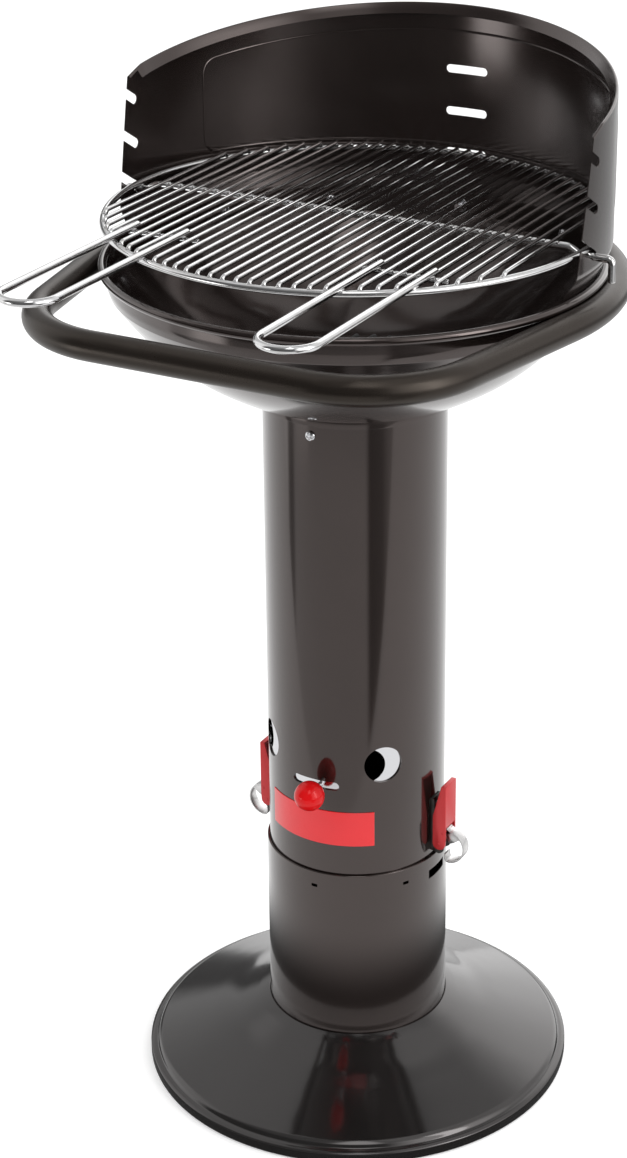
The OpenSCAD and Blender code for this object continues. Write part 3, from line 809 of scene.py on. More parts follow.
ENAMEL = Finish(
    "black_enamel", "enamel", (0.0105, 0.0074, 0.0066), (0.0078, 0.0055, 0.0049), 0.13,
    coat=Coat.ENAMEL, coat_roughness=0.08, tint=(1.0, 0.70, 0.62), rough_spread=0.03,
    wave=170.0, wave_height=0.000008, fleck=0.06,
)
FOOT_ENAMEL = replace(
    ENAMEL, name="foot_enamel", base=(0.009, 0.0084, 0.0083), shade=(0.0066, 0.0061, 0.006),
    tint=(1.0, 0.9, 0.88), wave=26.0, wave_height=0.00016,
)
HEATED_ENAMEL = replace(ENAMEL, name="heated_enamel", roughness=0.22, coat_roughness=0.17)
SATIN_BLACK = Finish(
    "satin_black_paint", "satin_black", (0.0105, 0.0078, 0.0064), (0.008, 0.006, 0.005), 0.3,
    tint=(1.0, 0.86, 0.74), wave=600.0, wave_height=0.000004,
)
CHROME = Finish(
    "plated_wire", "chrome_wire", (0.80, 0.80, 0.81), (0.68, 0.67, 0.66), 0.12, metal=1.0,
    wave=420.0, wave_height=0.00002, rough_spread=0.1, slow=60.0,
)
ZINC = Finish(
    "bright_steel", "bright_steel", (0.78, 0.77, 0.76), (0.62, 0.61, 0.61), 0.2, metal=1.0,
    wave=350.0, wave_height=0.00001, slow=90.0, rough_spread=0.12,
)
# Steel darkened nearly to black for the latches' brackets: painted shade, for the shade that falls
# between lever and pillar.
DULL_STEEL_PAINTED_SHADE = replace(
    ZINC, name="dull_steel_painted_shade", base=(0.10, 0.095, 0.09), shade=(0.06, 0.057, 0.055), roughness=0.34
)
SPRING_STEEL = replace(ZINC, name="spring_steel", base=(0.86, 0.85, 0.84), roughness=0.3)
RED_ENAMEL = Finish(
    "red_enamel", "red_enamel", (0.70, 0.012, 0.017), (0.58, 0.009, 0.014), 0.3,
    coat=Coat.ENAMEL, coat_roughness=0.1, tint=(1.0, 0.3, 0.3), wave=240.0, wave_height=0.00001,
)
# A lighter copy of the red enamel for the front plate: painted light, for the light that falls on the
# plate from the right.
PLATE_ENAMEL_PAINTED_LIGHT = replace(
    RED_ENAMEL, name="plate_enamel_painted_light", base=(0.80, 0.016, 0.023), shade=(0.72, 0.014, 0.02)
)
RED_PLASTIC = Finish(
    "red_gloss_plastic", "red_plastic", (0.66, 0.006, 0.008), (0.58, 0.005, 0.007), 0.09,
    tint=(1.0, 0.5, 0.5), wave=90.0, wave_height=0.000006,
)
BLACK_PLASTIC = Finish(
    "black_plastic", "black_plastic", (0.018, 0.017, 0.017), (0.012, 0.012, 0.012), 0.5,
    wave=700.0, wave_height=0.00002,
)
DARK_WIRE = Finish(
    "dark_wire", "dark_wire", (0.05, 0.047, 0.045), (0.03, 0.028, 0.027), 0.45, metal=0.6,
    wave=300.0, wave_height=0.00004,
)


def finish_piece(
    obj: bpy.types.Object, finish: Finish, body: Body | None, replaced: tuple[str, ...] = ()
) -> bpy.types.Object:
    """Gives a piece its material, its body and the frame nodes it stands for.

    Args:
        obj: the piece.
        finish: its finish.
        body: the body it rides on.
        replaced: frame nodes that it stands for.

    Returns:
        The same piece.
    """
    obj.data.materials.clear()
    obj.data.materials.append(finish.material())
    if body is not None:
        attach(obj, body.value)
    if replaced:
        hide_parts(*replaced)
    log.info("piece %s: %d faces", obj.name, len(obj.data.polygons))
    return obj


# Sub-assemblies


@dataclass
class Foot:
    """The foot: a cone of sheet with a collar that grips the lower tube and a rolled hem.

    cone_line gives the cone's (radius, height). hem_line and hem_inside give the hem's outer and
    inner side as (distance inside the hem's radius, height). The underside follows the first
    hem_shared points of the rounded hem.
    """

    tube_radius: float = 84.0
    play: float = 0.05
    hem_radius: float = 200.5
    collar_top: float = 62.0
    collar_low: float = 35.0
    collar_lip: Points = ((0.0, -1.0), (1.15, -0.7))
    collar_corner: float = 0.8
    hem_corner: float = 1.4
    sheet: float = 1.4
    cone_line: Points = (
        (94.0, 57.4), (104.0, 52.4), (120.0, 44.6), (140.0, 36.6), (160.0, 28.9), (178.0, 22.1),
        (190.0, 17.6),
    )
    hem_line: Points = (
        (10.5, 17.6), (7.9, 15.4), (6.3, 12.4), (3.3, 12.0), (0.1, 10.4), (0.0, 1.2), (2.6, 0.0),
        (6.4, 0.0), (7.2, 2.6),
    )
    hem_inside: Points = ((6.0, 3.6), (2.2, 3.4), (1.9, 8.6), (3.5, 10.4))
    hem_shared: int = 12

    def from_hem(self, line: Points) -> Array:
        """A line measured from the hem's radius inward, as (radius, height)."""
        return np.array([self.hem_radius, 0.0]) + np.array(line) * [-1.0, 1.0]

    def build(self) -> None:
        """Makes the foot and puts it on the base."""
        bore = self.tube_radius + self.play
        lip = np.array(self.collar_lip) + [bore, self.collar_top]
        fold = fillet(
            np.concatenate([[[bore, self.collar_low]], lip, [self.cone_line[0]]]),
            self.collar_corner, 6, closed=False,
        )
        cone = smooth_line(np.array(self.cone_line), 60)
        slope = np.concatenate([fold[:-1], cone[:-1]])
        hem = fillet(self.from_hem(self.hem_line), self.hem_corner, 4, closed=False)
        under = shifted(np.concatenate([slope, hem[: self.hem_shared]]), -self.sheet)
        section = np.concatenate([slope, hem, self.from_hem(self.hem_inside), under[::-1]])
        obj = mesh_object("foot", revolved(section, FINE_AROUND))
        finish_piece(obj, FOOT_ENAMEL, Body.BASE, ("foot_pan",))


@dataclass
class LowerTube:
    """The lower tube: mouth rolled inward, pierced lugs that carry the pillar, latch slots.

    Heights of the lugs' and windows' sections are counted from lug_height, and the slots' from
    hook_height. A lug reaches inward from and to the two depths in lug_reach.
    """

    radius: float = 84.0
    wall: float = 1.1
    bottom: float = 12.0
    mouth: float = 231.0
    mouth_corner: float = 0.5
    lip_radius: float = 82.05
    lip_sheet: float = 1.4
    lip_depth: float = 3.6
    lug_height: float = 219.0
    lug_count: int = 6
    lug_half: float = 2.9
    lug_sheet: float = 1.4
    lug_reach: tuple[float, float] = (0.7, 5.4)
    window_half: float = 3.0
    window_heights: tuple[float, float] = (-4.1, -1.0)
    window_depth: float = 6.0
    hook_height: float = 213.0
    hook_half_angle: float = 10.0
    hook_half_height: float = 4.5
    hook_angles: tuple[float, float] = (90.0, 270.0)
    hook_depth: float = 4.0

    def build(self) -> None:
        """Makes the tube with its windows and slots, and its lugs."""
        r, inner, top = self.radius, self.radius - self.wall, self.mouth
        section = fillet(
            np.array([[r, self.bottom], [r, top - self.mouth_corner], [r - self.mouth_corner, top],
                      [self.lip_radius, top], [self.lip_radius, top - self.lip_sheet],
                      [inner, top - self.lip_depth], [inner, self.bottom]]),
            0.3, 5,
        )
        obj = mesh_object("lower_tube", revolved(section))
        turns = [360 * k / self.lug_count for k in range(self.lug_count)]
        opening = rectangle((-self.window_half, self.window_half), self.window_heights, 0.6)
        window = extruded(opening, -self.window_depth, self.window_depth).moved(y=-r, z=self.lug_height)
        half, high, deep = self.hook_half_angle, self.hook_half_height, self.hook_depth
        strip = rectangle((r - deep, r + deep), (-high, high))
        slots = [
            revolved(strip, 24, angle - half, 2 * half).moved(z=self.hook_height)
            for angle in self.hook_angles
        ]
        cut(obj, [window.turned(turn) for turn in turns] + slots)
        true_walls(obj)
        finish_piece(obj, ENAMEL, Body.BASE, ("base_tube",))
        tongue = rectangle((-self.lug_half, self.lug_half), (-self.lug_sheet, 0.0), 0.4)
        start, end = self.lug_reach
        lug = extruded(tongue, start - r, end - r).moved(z=self.lug_height)
        lugs = merged([lug.turned(turn) for turn in turns])
        finish_piece(mesh_object("lower_tube_lugs", lugs), ENAMEL, Body.BASE)


@dataclass
class Pillar:
    """The pillar: round air holes, the slot of the air knob and the bare front plate.

    plate_edge gives the levels of the plate's side as (distance inside its outline, height over
    the pillar's wall).
    """

    radius: float = 81.6
    wall: float = 1.2
    bottom: float = 219.0
    top: float = 673.0
    hole_radius: float = 17.5
    hole_height: float = 343.0
    slot_height: float = 321.5
    slot_half_height: float = 4.1
    slot_half_angle: float = 16.6
    slot_depth: float = 6.0
    slot_points: int = 12
    plate_half_angle: float = 39.0
    plate_low: float = 261.3
    plate_high: float = 295.8
    plate_edge: Points = ((0.0, 0.0), (0.0, 0.55), (0.28, 0.8))
    plate_columns: int = 72
    plate_rows: int = 8
    rest_z: float = 300.7
    rest_half: float = 4.0
    rest_sheet: float = 1.5
    rest_reach: tuple[float, float] = (-0.3, 4.0)
    rest_angles: tuple[float, ...] = (60.0, 180.0, 300.0)

    def slot_cutter(self) -> Shell:
        """The knob's slot: a strip round the axis whose ends are half circles on the wall.

        Returns:
            The strip, from slot_depth inside the wall to slot_depth outside it.
        """
        high = self.slot_half_height
        half = math.radians(self.slot_half_angle) * self.radius - high
        back = np.linspace(half, -half, self.slot_points + 2)[1:-1]
        level = np.full(self.slot_points, high)
        outline = np.concatenate([
            arc((half, 0), high, -90, 90, 13), np.column_stack([back, level]),
            arc((-half, 0), high, 90, 270, 13), np.column_stack([-back, -level]),
        ])
        outline += [0.0, self.slot_height]
        deep = self.slot_depth
        return between([on_cylinder(outline, self.radius + d, self.radius) for d in (-deep, deep)])

    def build(self) -> None:
        """Makes the tube, its inner rests and the plate."""
        r = self.radius
        wall = rectangle((r - self.wall, r), (self.bottom, self.top), 0.3, 3)
        obj = mesh_object("pillar", revolved(wall, FINE_AROUND))
        hole = drill(self.hole_radius, 96)
        cut(obj, [hole.to_radial(a, r, self.hole_height) for a in AIR_HOLES] + [self.slot_cutter()])
        true_walls(obj)
        finish_piece(obj, ENAMEL, Body.COLUMN, ("pillar_tube",))
        self.rests()
        self.plate()

    def rests(self) -> None:
        """Three tongues inside the pillar that carry the air band."""
        inner = self.radius - self.wall
        start, end = self.rest_reach
        section = rectangle((-self.rest_half, self.rest_half), (-self.rest_sheet, 0.0))
        tongue = extruded(section, start - inner, end - inner).moved(z=self.rest_z)
        rests = merged([tongue.turned(angle) for angle in self.rest_angles])
        finish_piece(mesh_object("pillar_rests", rests), ENAMEL, Body.COLUMN)

    def plate(self) -> None:
        """The plain front plate: a curved sheet with bevelled front edges.

        Its outline is a rectangle in (distance round, height), laid on the cylinder.
        """
        columns, rows = self.plate_columns, self.plate_rows
        face = self.radius + self.plate_edge[-1][1]
        half = math.radians(self.plate_half_angle) * face
        u = np.linspace(-1, 1, columns)
        rings = []
        for inset, rise in self.plate_edge:
            wide, low, high = half - inset, self.plate_low + inset, self.plate_high - inset
            side = np.linspace(low, high, rows)[1:-1]
            line = np.concatenate([
                np.column_stack([u * wide, np.full(columns, low)]),
                np.column_stack([np.full(rows - 2, wide), side]),
                np.column_stack([-u * wide, np.full(columns, high)]),
                np.column_stack([np.full(rows - 2, -wide), side[::-1]]),
            ])
            rings.append(on_cylinder(line, self.radius + rise, face))
        n = len(rings[0])
        faces = grid_faces(len(rings), n, False, True).tolist()
        faces += [f[::-1] for f in self.cap_faces((len(rings) - 1) * n, n)]
        faces += self.cap_faces(0, n)
        obj = mesh_object("front_plate_sheet", Shell(np.concatenate(rings), faces).outward())
        # The plate's red is the lighter copy of the enamel, with painted light in its colour.
        finish_piece(obj, PLATE_ENAMEL_PAINTED_LIGHT, Body.COLUMN, ("front_plate",))

    def cap_faces(self, start: int, n: int) -> list[list[int]]:
        """Strips from the bottom edge to the top edge of the plate's outline.

        Args:
            start: number of the ring's first point.
            n: points in the ring.

        Returns:
            Quads, and at each side one face that takes in the side's points.
        """
        columns, rows = self.plate_columns, self.plate_rows
        bottom = np.arange(1, columns - 1)
        top = 2 * columns + rows - 3 - bottom
        quads = np.stack([bottom[:-1], bottom[1:], top[1:], top[:-1]], axis=-1)
        right = np.array([columns - 2, *range(columns - 1, columns + rows - 1), int(top[-1])])
        left = np.array([0, 1, int(top[0]), *range(int(top[0]) + 1, n)])
        return [*(quads + start).tolist(), (left + start).tolist(), (right + start).tolist()]


@dataclass
class AirRing:
    """The bright band inside the pillar, its stem and the ball knob.

    The band's holes lie hole_offset degrees beside the pillar's. The stem reaches stem_sunk into
    the ball and as far inside the band. Angles on the ball are counted from the stem.
    """

    outer: float = 80.1
    wall: float = 1.0
    low: float = 301.0
    high: float = 371.0
    hole_radius: float = 16.5
    hole_height: float = 343.0
    hole_offset: float = -10.4
    knob_angle: float = 4.0
    knob_height: float = 321.5
    knob_distance: float = 104.5
    ball_radius: float = 13.8
    flat_angle: float = 14.0
    seam_angle: float = 96.0
    seam_width: float = 1.6
    seam_rise: float = 0.06
    stem_radius: float = 2.5
    stem_sunk: float = 3.0
    thread_depth: float = 0.12
    thread_pitch: float = 1.6
    nut_size: float = 5.0
    nut_height: float = 3.0
    nut_sunk: float = 3.4

    def build(self) -> None:
        """Makes the band, the stem with its nut, and the ball."""
        section = rectangle((self.outer - self.wall, self.outer), (self.low, self.high), 0.25, 2)
        band = mesh_object("air_band_ring", revolved(section))
        hole = drill(self.hole_radius, 80)
        turned = [a + self.hole_offset for a in AIR_HOLES]
        cut(band, [hole.to_radial(a, self.outer, self.hole_height) for a in turned])
        true_walls(band)
        finish_piece(band, ZINC, Body.AIR_RING, ("air_band",))
        self.stem()
        self.ball()

    def stem(self) -> None:
        """The stem: a rod with rounded thread crests and a nut inside the band."""
        inner = self.outer - self.wall
        start = inner - self.stem_sunk
        length = self.knob_distance - self.ball_radius + self.stem_sunk - start
        z = np.linspace(0, length, 60)
        line = threaded(self.stem_radius, self.thread_depth, self.thread_pitch, z)
        rod = lathe(line, 28).to_radial(self.knob_angle, start, self.knob_height)
        nut = hex_nut(self.nut_size, self.stem_radius, self.nut_height)
        nut = nut.to_radial(self.knob_angle, inner - self.nut_sunk, self.knob_height)
        finish_piece(mesh_object("knob_rod", merged([rod, nut])), ZINC, Body.AIR_RING, ("knob_stem",))

    def ball(self) -> None:
        """The ball: a sphere with a flat where the stem enters and a faint mould line."""
        degrees = np.linspace(self.flat_angle, 180, 90)
        seam = self.seam_rise * np.exp(-((degrees - self.seam_angle) / self.seam_width) ** 2)
        polar, r = np.radians(degrees), self.ball_radius + seam
        line = np.stack([r * np.sin(polar), -r * np.cos(polar)], axis=-1)
        line[-1] = (0.0, self.ball_radius)
        line = np.concatenate([[[0, line[0, 1]]], line])
        ball = lathe(line, 96).to_radial(self.knob_angle, self.knob_distance, self.knob_height)
        finish_piece(mesh_object("ball", ball), RED_PLASTIC, Body.AIR_RING, ("ball_knob",))


# Fastener shapes, modelled about +Z with the seat at z = 0


def hex_nut(size: float, bore: float, height: float) -> Shell:
    """A hexagon nut with bevelled corners: six-sided rings between round bevel rings.

    Args:
        size: distance from the axis to a corner.
        bore: radius of the hole.
        height: how tall it stands.

    Returns:
        The nut's surface.
    """
    around, sixth = 24, math.pi / 3
    edge_share, bevel_share = 0.93, 0.1
    a = np.linspace(0, 2 * math.pi, around, endpoint=False)
    flat = size * math.cos(sixth / 2) / np.cos((a + sixth / 2) % sixth - sixth / 2)
    edge = np.minimum(flat, size * edge_share)
    bevel = size * bevel_share
    inside = np.full(around, bore)
    levels = [(inside, 0.0), (edge, 0.0), (flat, bevel), (flat, height - bevel), (edge, height),
              (inside, height)]
    grid = np.stack([
        np.stack([r * np.cos(a), r * np.sin(a), np.full(around, z)], axis=-1) for r, z in levels
    ])
    return Shell(grid.reshape(-1, 3), grid_faces(6, around, True, True).tolist()).outward()


def dome_head(radius: float, height: float, recess: float) -> Shell:
    """A domed screw head with a cross recess pressed in its top.

    The height over (x, y) is a shallow dome, height * sqrt(1 - 0.96 (d / radius)^2), less a
    cross-shaped dent whose depth falls off with the distance to the nearer cross arm.

    Args:
        radius: of the head.
        height: of the dome's middle.
        recess: depth of the cross, 0 for a plain rivet.

    Returns:
        The head's surface, closed underneath.
    """
    rings, around = 18, 64
    arm_width, arm_length = 0.16 * radius, 0.62 * radius
    d = np.linspace(0, 1, rings + 1)[1:, None] * radius
    a = np.radians(np.linspace(0, 360, around, endpoint=False))[None, :]
    x, y = d * np.cos(a), d * np.sin(a)
    dome = height * np.sqrt(1 - 0.96 * (d / radius) ** 2)
    arm = np.minimum(np.abs(x), np.abs(y)) / arm_width
    reach = np.maximum(np.abs(x), np.abs(y)) / arm_length
    dent = recess / (1 + arm**6) / (1 + reach**8)
    grid = np.stack([x, y, dome - dent], axis=-1)
    skirt = np.stack([x[-1], y[-1], np.zeros(around)], axis=-1)
    points = np.concatenate([grid.reshape(-1, 3), skirt, [[0, 0, height - recess], [0, 0, 0]]])
    faces = grid_faces(rings + 1, around, False, True).tolist()
    ring = np.arange(around)
    after = (ring + 1) % around
    tip = len(points) - 2
    base = rings * around
    faces += np.stack([ring, after, np.full(around, tip)], axis=-1).tolist()
    faces += np.stack([after + base, ring + base, np.full(around, tip + 1)], axis=-1).tolist()
    return Shell(points, faces).outward()


def shank(radius: float, length: float) -> Shell:
    """A bolt's threaded shank.

    Args:
        radius: at the thread's crests.
        length: how far it goes down from z = 0.

    Returns:
        The shank's surface.
    """
    depth, pitch, step = 0.14, 1.1, 0.35
    z = np.linspace(0, -length, max(int(length / step), 8))
    return lathe(threaded(radius, depth, pitch, z), 24)


def washer(outer: float, bore: float, height: float) -> Shell:
    """A flat ring with rounded edges."""
    return revolved(rectangle((bore, outer), (0, height), height / 3, 3), 48)


@dataclass
class Fasteners:
    """Screws, nuts, bolts and rivets of the column.

    A head is (radius, height, depth of its cross), a shank (radius, length), a nut (size, bore,
    height) and a washer (outer radius, bore, height).
    """

    pillar_radius: float = 81.6
    neck_height: float = 658.0
    neck_head: tuple[float, float, float] = (4.6, 3.0, 1.3)
    neck_shank: tuple[float, float] = (2.4, 8.0)
    neck_nut: tuple[float, float, float] = (4.6, 2.5, 3.4)
    neck_nut_distance: float = 75.5
    neck_angles: tuple[float, ...] = (0.0, 120.0, 240.0)
    band_inner: float = 211.5
    band_outer: float = 212.6
    back_bolt_height: float = 784.6
    back_head: tuple[float, float, float] = (4.4, 3.0, 1.3)
    back_shank: tuple[float, float] = (2.8, 10.0)
    back_nut: tuple[float, float, float] = (5.3, 2.9, 3.8)
    back_washer: tuple[float, float, float] = (6.5, 2.9, 1.0)
    back_nut_gap: float = 6.0
    rail_bolt_height: float = 783.0
    rail_bolt_angles: tuple[float, ...] = (118.0, 146.0, -118.0, -146.0)
    rail_head: tuple[float, float, float] = (5.2, 3.3, 1.5)
    rail_shank: tuple[float, float] = (2.8, 6.0)
    rail_gap: float = 1.05
    rivet_head: tuple[float, float, float] = (3.0, 1.3, 0.0)
    rivet_heights: tuple[float, ...] = (262.0, 281.0)
    bracket_sheet: float = 1.4

    def build(self) -> None:
        """Makes each group of fasteners and puts it in place of the frame's plain ones."""
        self.neck()
        self.rim()
        self.rivets()

    def neck(self) -> None:
        """The screws and nuts that hold the bowl's neck in the pillar."""
        place, height = self.pillar_radius + 0.05, self.neck_height
        screw = merged([dome_head(*self.neck_head), shank(*self.neck_shank)])
        screws = merged([screw.to_radial(a, place, height) for a in self.neck_angles])
        finish_piece(mesh_object("neck_screws", screws), ZINC, Body.COLUMN, ("bowl_screws",))
        nut = hex_nut(*self.neck_nut)
        nuts = merged([nut.to_radial(a, self.neck_nut_distance, height) for a in self.neck_angles])
        finish_piece(mesh_object("neck_nuts", nuts), ZINC, Body.COLUMN, ("bowl_nuts",))

    def rim(self) -> None:
        """The rail's bolts, with their heads inside the bowl, and the bolt at the back's seam."""
        bolt = merged([dome_head(*self.rail_head), shank(*self.rail_shank)])
        bolt = Shell(bolt.points * [1.0, -1.0, -1.0], bolt.faces)
        place = self.band_inner - self.rail_gap
        bolts = [bolt.to_radial(a, place, self.rail_bolt_height) for a in self.rail_bolt_angles]
        back = merged([dome_head(*self.back_head), shank(*self.back_shank)])
        bolts.append(back.to_radial(180, self.band_outer + 0.1, self.back_bolt_height))
        finish_piece(mesh_object("rim_bolt_set", merged(bolts)), ZINC, Body.COLUMN, ("rim_bolts",))
        seat = washer(*self.back_washer).moved(z=self.back_nut[2] + 0.05)
        clamp = merged([hex_nut(*self.back_nut), seat])
        clamp = clamp.to_radial(180, self.band_inner - self.back_nut_gap, self.back_bolt_height)
        finish_piece(mesh_object("rim_nut_set", clamp), ZINC, Body.COLUMN, ("rim_nut",))

    def rivets(self) -> None:
        """The plain rivets that hold the latches' brackets to the pillar."""
        rivet = dome_head(*self.rivet_head)
        place = self.pillar_radius + self.bracket_sheet
        rivets = merged([rivet.to_radial(a, place, z) for a in (90, -90) for z in self.rivet_heights])
        finish_piece(mesh_object("bracket_rivets", rivets), ZINC, Body.COLUMN, ("latch_rivets",))


@dataclass
class Latch:
    """One over-centre latch: bracket, red channel lever, its pivot, the bow and the bow's pin.

    Points are (distance from the axis, height), those of lip_line counted from the lowest point
    of the bow. The bracket's plate reaches plate_half_angle degrees to either side.
    """

    side: Side
    outer: float = 97.3
    inner: float = 84.3
    half: float = 11.0
    sheet: float = 2.2
    top: float = 306.0
    shoulder: float = 274.0
    top_inner: float = 92.7
    tail_inset: float = 0.4
    front_low: float = 251.6
    skirt: float = 262.5
    open_low: float = 228.0
    hollow_inner: float = 70.0
    window_inner: float = 90.0
    window_outer: float = 110.0
    pivot: tuple[float, float] = (90.5, 246.0)
    pivot_radius: float = 1.8
    pin: tuple[float, float] = (94.6, 257.6)
    pin_radius: float = 1.4
    pin_inset: float = 0.1
    pin_end: Points = ((0.7, 0.24), (0.0, 0.3))
    bow_centre: tuple[float, float] = (97.2, 241.6)
    bow_radius: float = 15.7
    bow_sheet: float = 1.4
    bow_half: float = 5.4
    eye_radius: float = 2.2
    lip_line: Points = ((0.6, -0.2), (-1.4, 0.4), (-2.6, 2.4), (-3.0, 7.6))
    cheek_line: Points = ((93.4, 256.0), (98.4, 245.2), (102.4, 246.6))
    cheek_y: float = 4.6
    cheek_sheet: float = 1.1
    pillar_radius: float = 81.6
    ear_line: Points = (
        (81.9, 236.0), (89.0, 233.5), (93.4, 236.4), (94.6, 241.0), (94.6, 248.0), (92.6, 251.2),
        (86.5, 258.0), (84.0, 288.0), (81.9, 289.0),
    )
    ear_y: float = 7.0
    ear_sheet: float = 1.2
    plate_sheet: float = 1.4
    plate_heights: tuple[float, float] = (235.5, 290.0)
    plate_half_angle: float = 5.2

    @property
    def word(self) -> str:
        """The side's word in piece and node names."""
        return self.side.name.lower()

    def placed(self, shell: Shell) -> Shell:
        """The shell on this latch's side."""
        return shell if self.side is Side.RIGHT else shell.mirrored()

    def body(self, part: str) -> Body:
        """The body of this side's lever or bow."""
        return Body[f"{part}_{self.side.name}"]

    def build(self) -> None:
        """Makes the latch's pieces."""
        self.lever()
        self.bracket()
        self.pins()
        self.bow()

    def lever(self) -> None:
        """The lever: a channel bent from one sheet, closed at its top, with rounded tails."""
        tail_outer = self.outer - self.tail_inset
        tail = ((self.inner + tail_outer) / 2, self.pivot[1])
        outline = np.concatenate([
            [[self.inner, self.shoulder], [self.top_inner, self.top], [self.outer, self.top],
             [self.outer, self.front_low]],
            arc(tail, (tail_outer - self.inner) / 2, 0, -180, 25),
        ])
        obj = mesh_object(f"lever_{self.word}", self.placed(extruded(outline, -self.half, self.half)))
        gap = self.half - self.sheet
        inside = (self.hollow_inner, self.outer - self.sheet)
        hollow = rectangle(inside, (self.open_low, self.top - self.sheet), 2.0)
        window = rectangle((self.window_inner, self.window_outer), (self.open_low, self.skirt))
        cut(obj, [self.placed(extruded(shape, -gap, gap)) for shape in (hollow, window)])
        rounded(obj, 0.75, 3, 40.0)
        finish_piece(obj, RED_ENAMEL, self.body("LEVER"), (f"latch_lever_{self.word}",))

    def bracket(self) -> None:
        """The bracket: a plate bent to the pillar with two ears that hold the pivot."""
        r, thick = self.pillar_radius, self.ear_sheet / 2
        ear = fillet(np.array(self.ear_line), 1.6, 4)
        ears = [extruded(ear, y - thick, y + thick) for y in (-self.ear_y, self.ear_y)]
        section = rectangle((r, r + self.plate_sheet), self.plate_heights, 0.35, 3)
        reach = self.plate_half_angle
        plate = revolved(section, 16, 90 - reach, 2 * reach)
        obj = mesh_object(f"bracket_{self.word}", self.placed(merged([*ears, plate])))
        # The bracket gets the darkened steel: painted shade where it sits between lever and pillar.
        finish_piece(obj, DULL_STEEL_PAINTED_SHADE, Body.COLUMN, (f"latch_bracket_{self.word}",))

    def pins(self) -> None:
        """Pivot and bow pin: rods with low riveted ends, painted over with the lever."""
        half = self.half - self.pin_inset
        for name, at, radius, body, node in (
            ("pivot", self.pivot, self.pivot_radius, Body.COLUMN, "lever_pivot"),
            ("pin", self.pin, self.pin_radius, self.body("LEVER"), "bow_pin"),
        ):
            end = np.array([(1.0, 0.0), *self.pin_end]) * [radius, 1.0] + [0.0, half]
            rod = lathe(np.concatenate([end[::-1] * [1.0, -1.0], end]), 32)
            x, y, z = rod.points.T
            laid = Shell(np.stack([at[0] + x, z, at[1] + y], axis=-1), rod.faces).outward()
            obj = mesh_object(f"{name}_{self.word}", self.placed(laid))
            finish_piece(obj, RED_ENAMEL, body, (f"{node}_{self.word}",))

    def bow(self) -> None:
        """The bow: a strip rolled into an eye, bent round to an inturned lip, with two cheeks."""
        x, z = self.bow_centre
        eye = arc(self.pin, self.eye_radius, -150, 78, 26)
        hoop = arc(self.bow_centre, self.bow_radius, 84, -78, 44)
        lip = np.array(self.lip_line) + [x, z - self.bow_radius]
        lip = smooth_line(np.concatenate([hoop[-2:-1], lip]), 16)[2:]
        strip = sheet_section(np.concatenate([eye, hoop, lip]), self.bow_sheet)
        edge = arc(self.bow_centre, self.bow_radius, 40, 94, 9)
        cheek = fillet(np.concatenate([edge, self.cheek_line]), 1.0, 3)
        thick = self.cheek_sheet / 2
        shells = [extruded(strip, -self.bow_half, self.bow_half)]
        shells += [extruded(cheek, y - thick, y + thick) for y in (-self.cheek_y, self.cheek_y)]
        obj = mesh_object(f"bow_{self.word}", self.placed(merged(shells)))
        rounded(obj, 0.22, 2, 50.0)
        finish_piece(obj, SPRING_STEEL, self.body("BOW"), (f"latch_bow_{self.word}",))


@dataclass
class Bowl:
    """The bowl: rounded bottom, upright band, rolled rim, and a neck over the pillar's top.

    outer_line gives the bottom's outer side as (radius, height). neck_line gives the neck's
    collar as (distance inside its radius, height over the pillar's top).
    """

    band: float = 212.6
    band_low: float = 779.0
    band_corner: float = 3.0
    sheet: float = 1.1
    rim_height: float = 793.0
    rim_bead: float = 3.8
    rim_from: float = 215.0
    rim_to: float = -130.0
    neck: float = 84.9
    neck_line: Points = ((1.0, 0.0), (1.0, -5.0), (0.0, -5.0), (0.0, 2.2), (1.5, 2.6))
    spigot: float = 80.1
    spigot_sheet: float = 1.0
    spigot_low: float = 641.0
    pillar_top: float = 673.0
    outer_line: Points = (
        (212.6, 775.0), (208, 768.8), (201.5, 760), (194, 750.5), (185.5, 740.5), (176, 730.3),
        (165, 719.7), (152, 709), (134, 697), (116, 687), (100, 680), (90, 676.3), (84.4, 674.6),
    )

    def build(self) -> None:
        """Makes the bowl from its sheet, its rim and its neck."""
        bottom = smooth_line(np.array(self.outer_line), 90)
        band = np.array([[self.band, self.rim_height + 0.5], [self.band, self.band_low]])
        corner = fillet(np.concatenate([band, bottom[2:4]]), self.band_corner, 6, closed=False)
        outside = np.concatenate([corner[:-1], bottom[4:]])
        section = np.concatenate([outside, shifted(outside, -self.sheet)[::-1]])
        bead = self.rim_bead
        centre = (self.band - self.sheet + 0.05 + bead, self.rim_height)
        curl = np.concatenate([
            arc(centre, bead, self.rim_from, self.rim_to, 34),
            arc(centre, bead - self.sheet, self.rim_to, self.rim_from, 34),
        ])
        top, outer = self.pillar_top, self.spigot
        inner = outer - self.spigot_sheet
        collar = np.array([self.neck, top]) + np.array(self.neck_line) * [-1.0, 1.0]
        neck = fillet(
            np.array([[inner, self.spigot_low], [outer, self.spigot_low], [outer, top], *collar,
                      [inner, collar[-1, 1]]]),
            0.35, 3,
        )
        shells = [revolved(section, FINE_AROUND), revolved(curl, FINE_AROUND), revolved(neck)]
        finish_piece(mesh_object("bowl_shell", merged(shells)), ENAMEL, Body.COLUMN, ("bowl",))


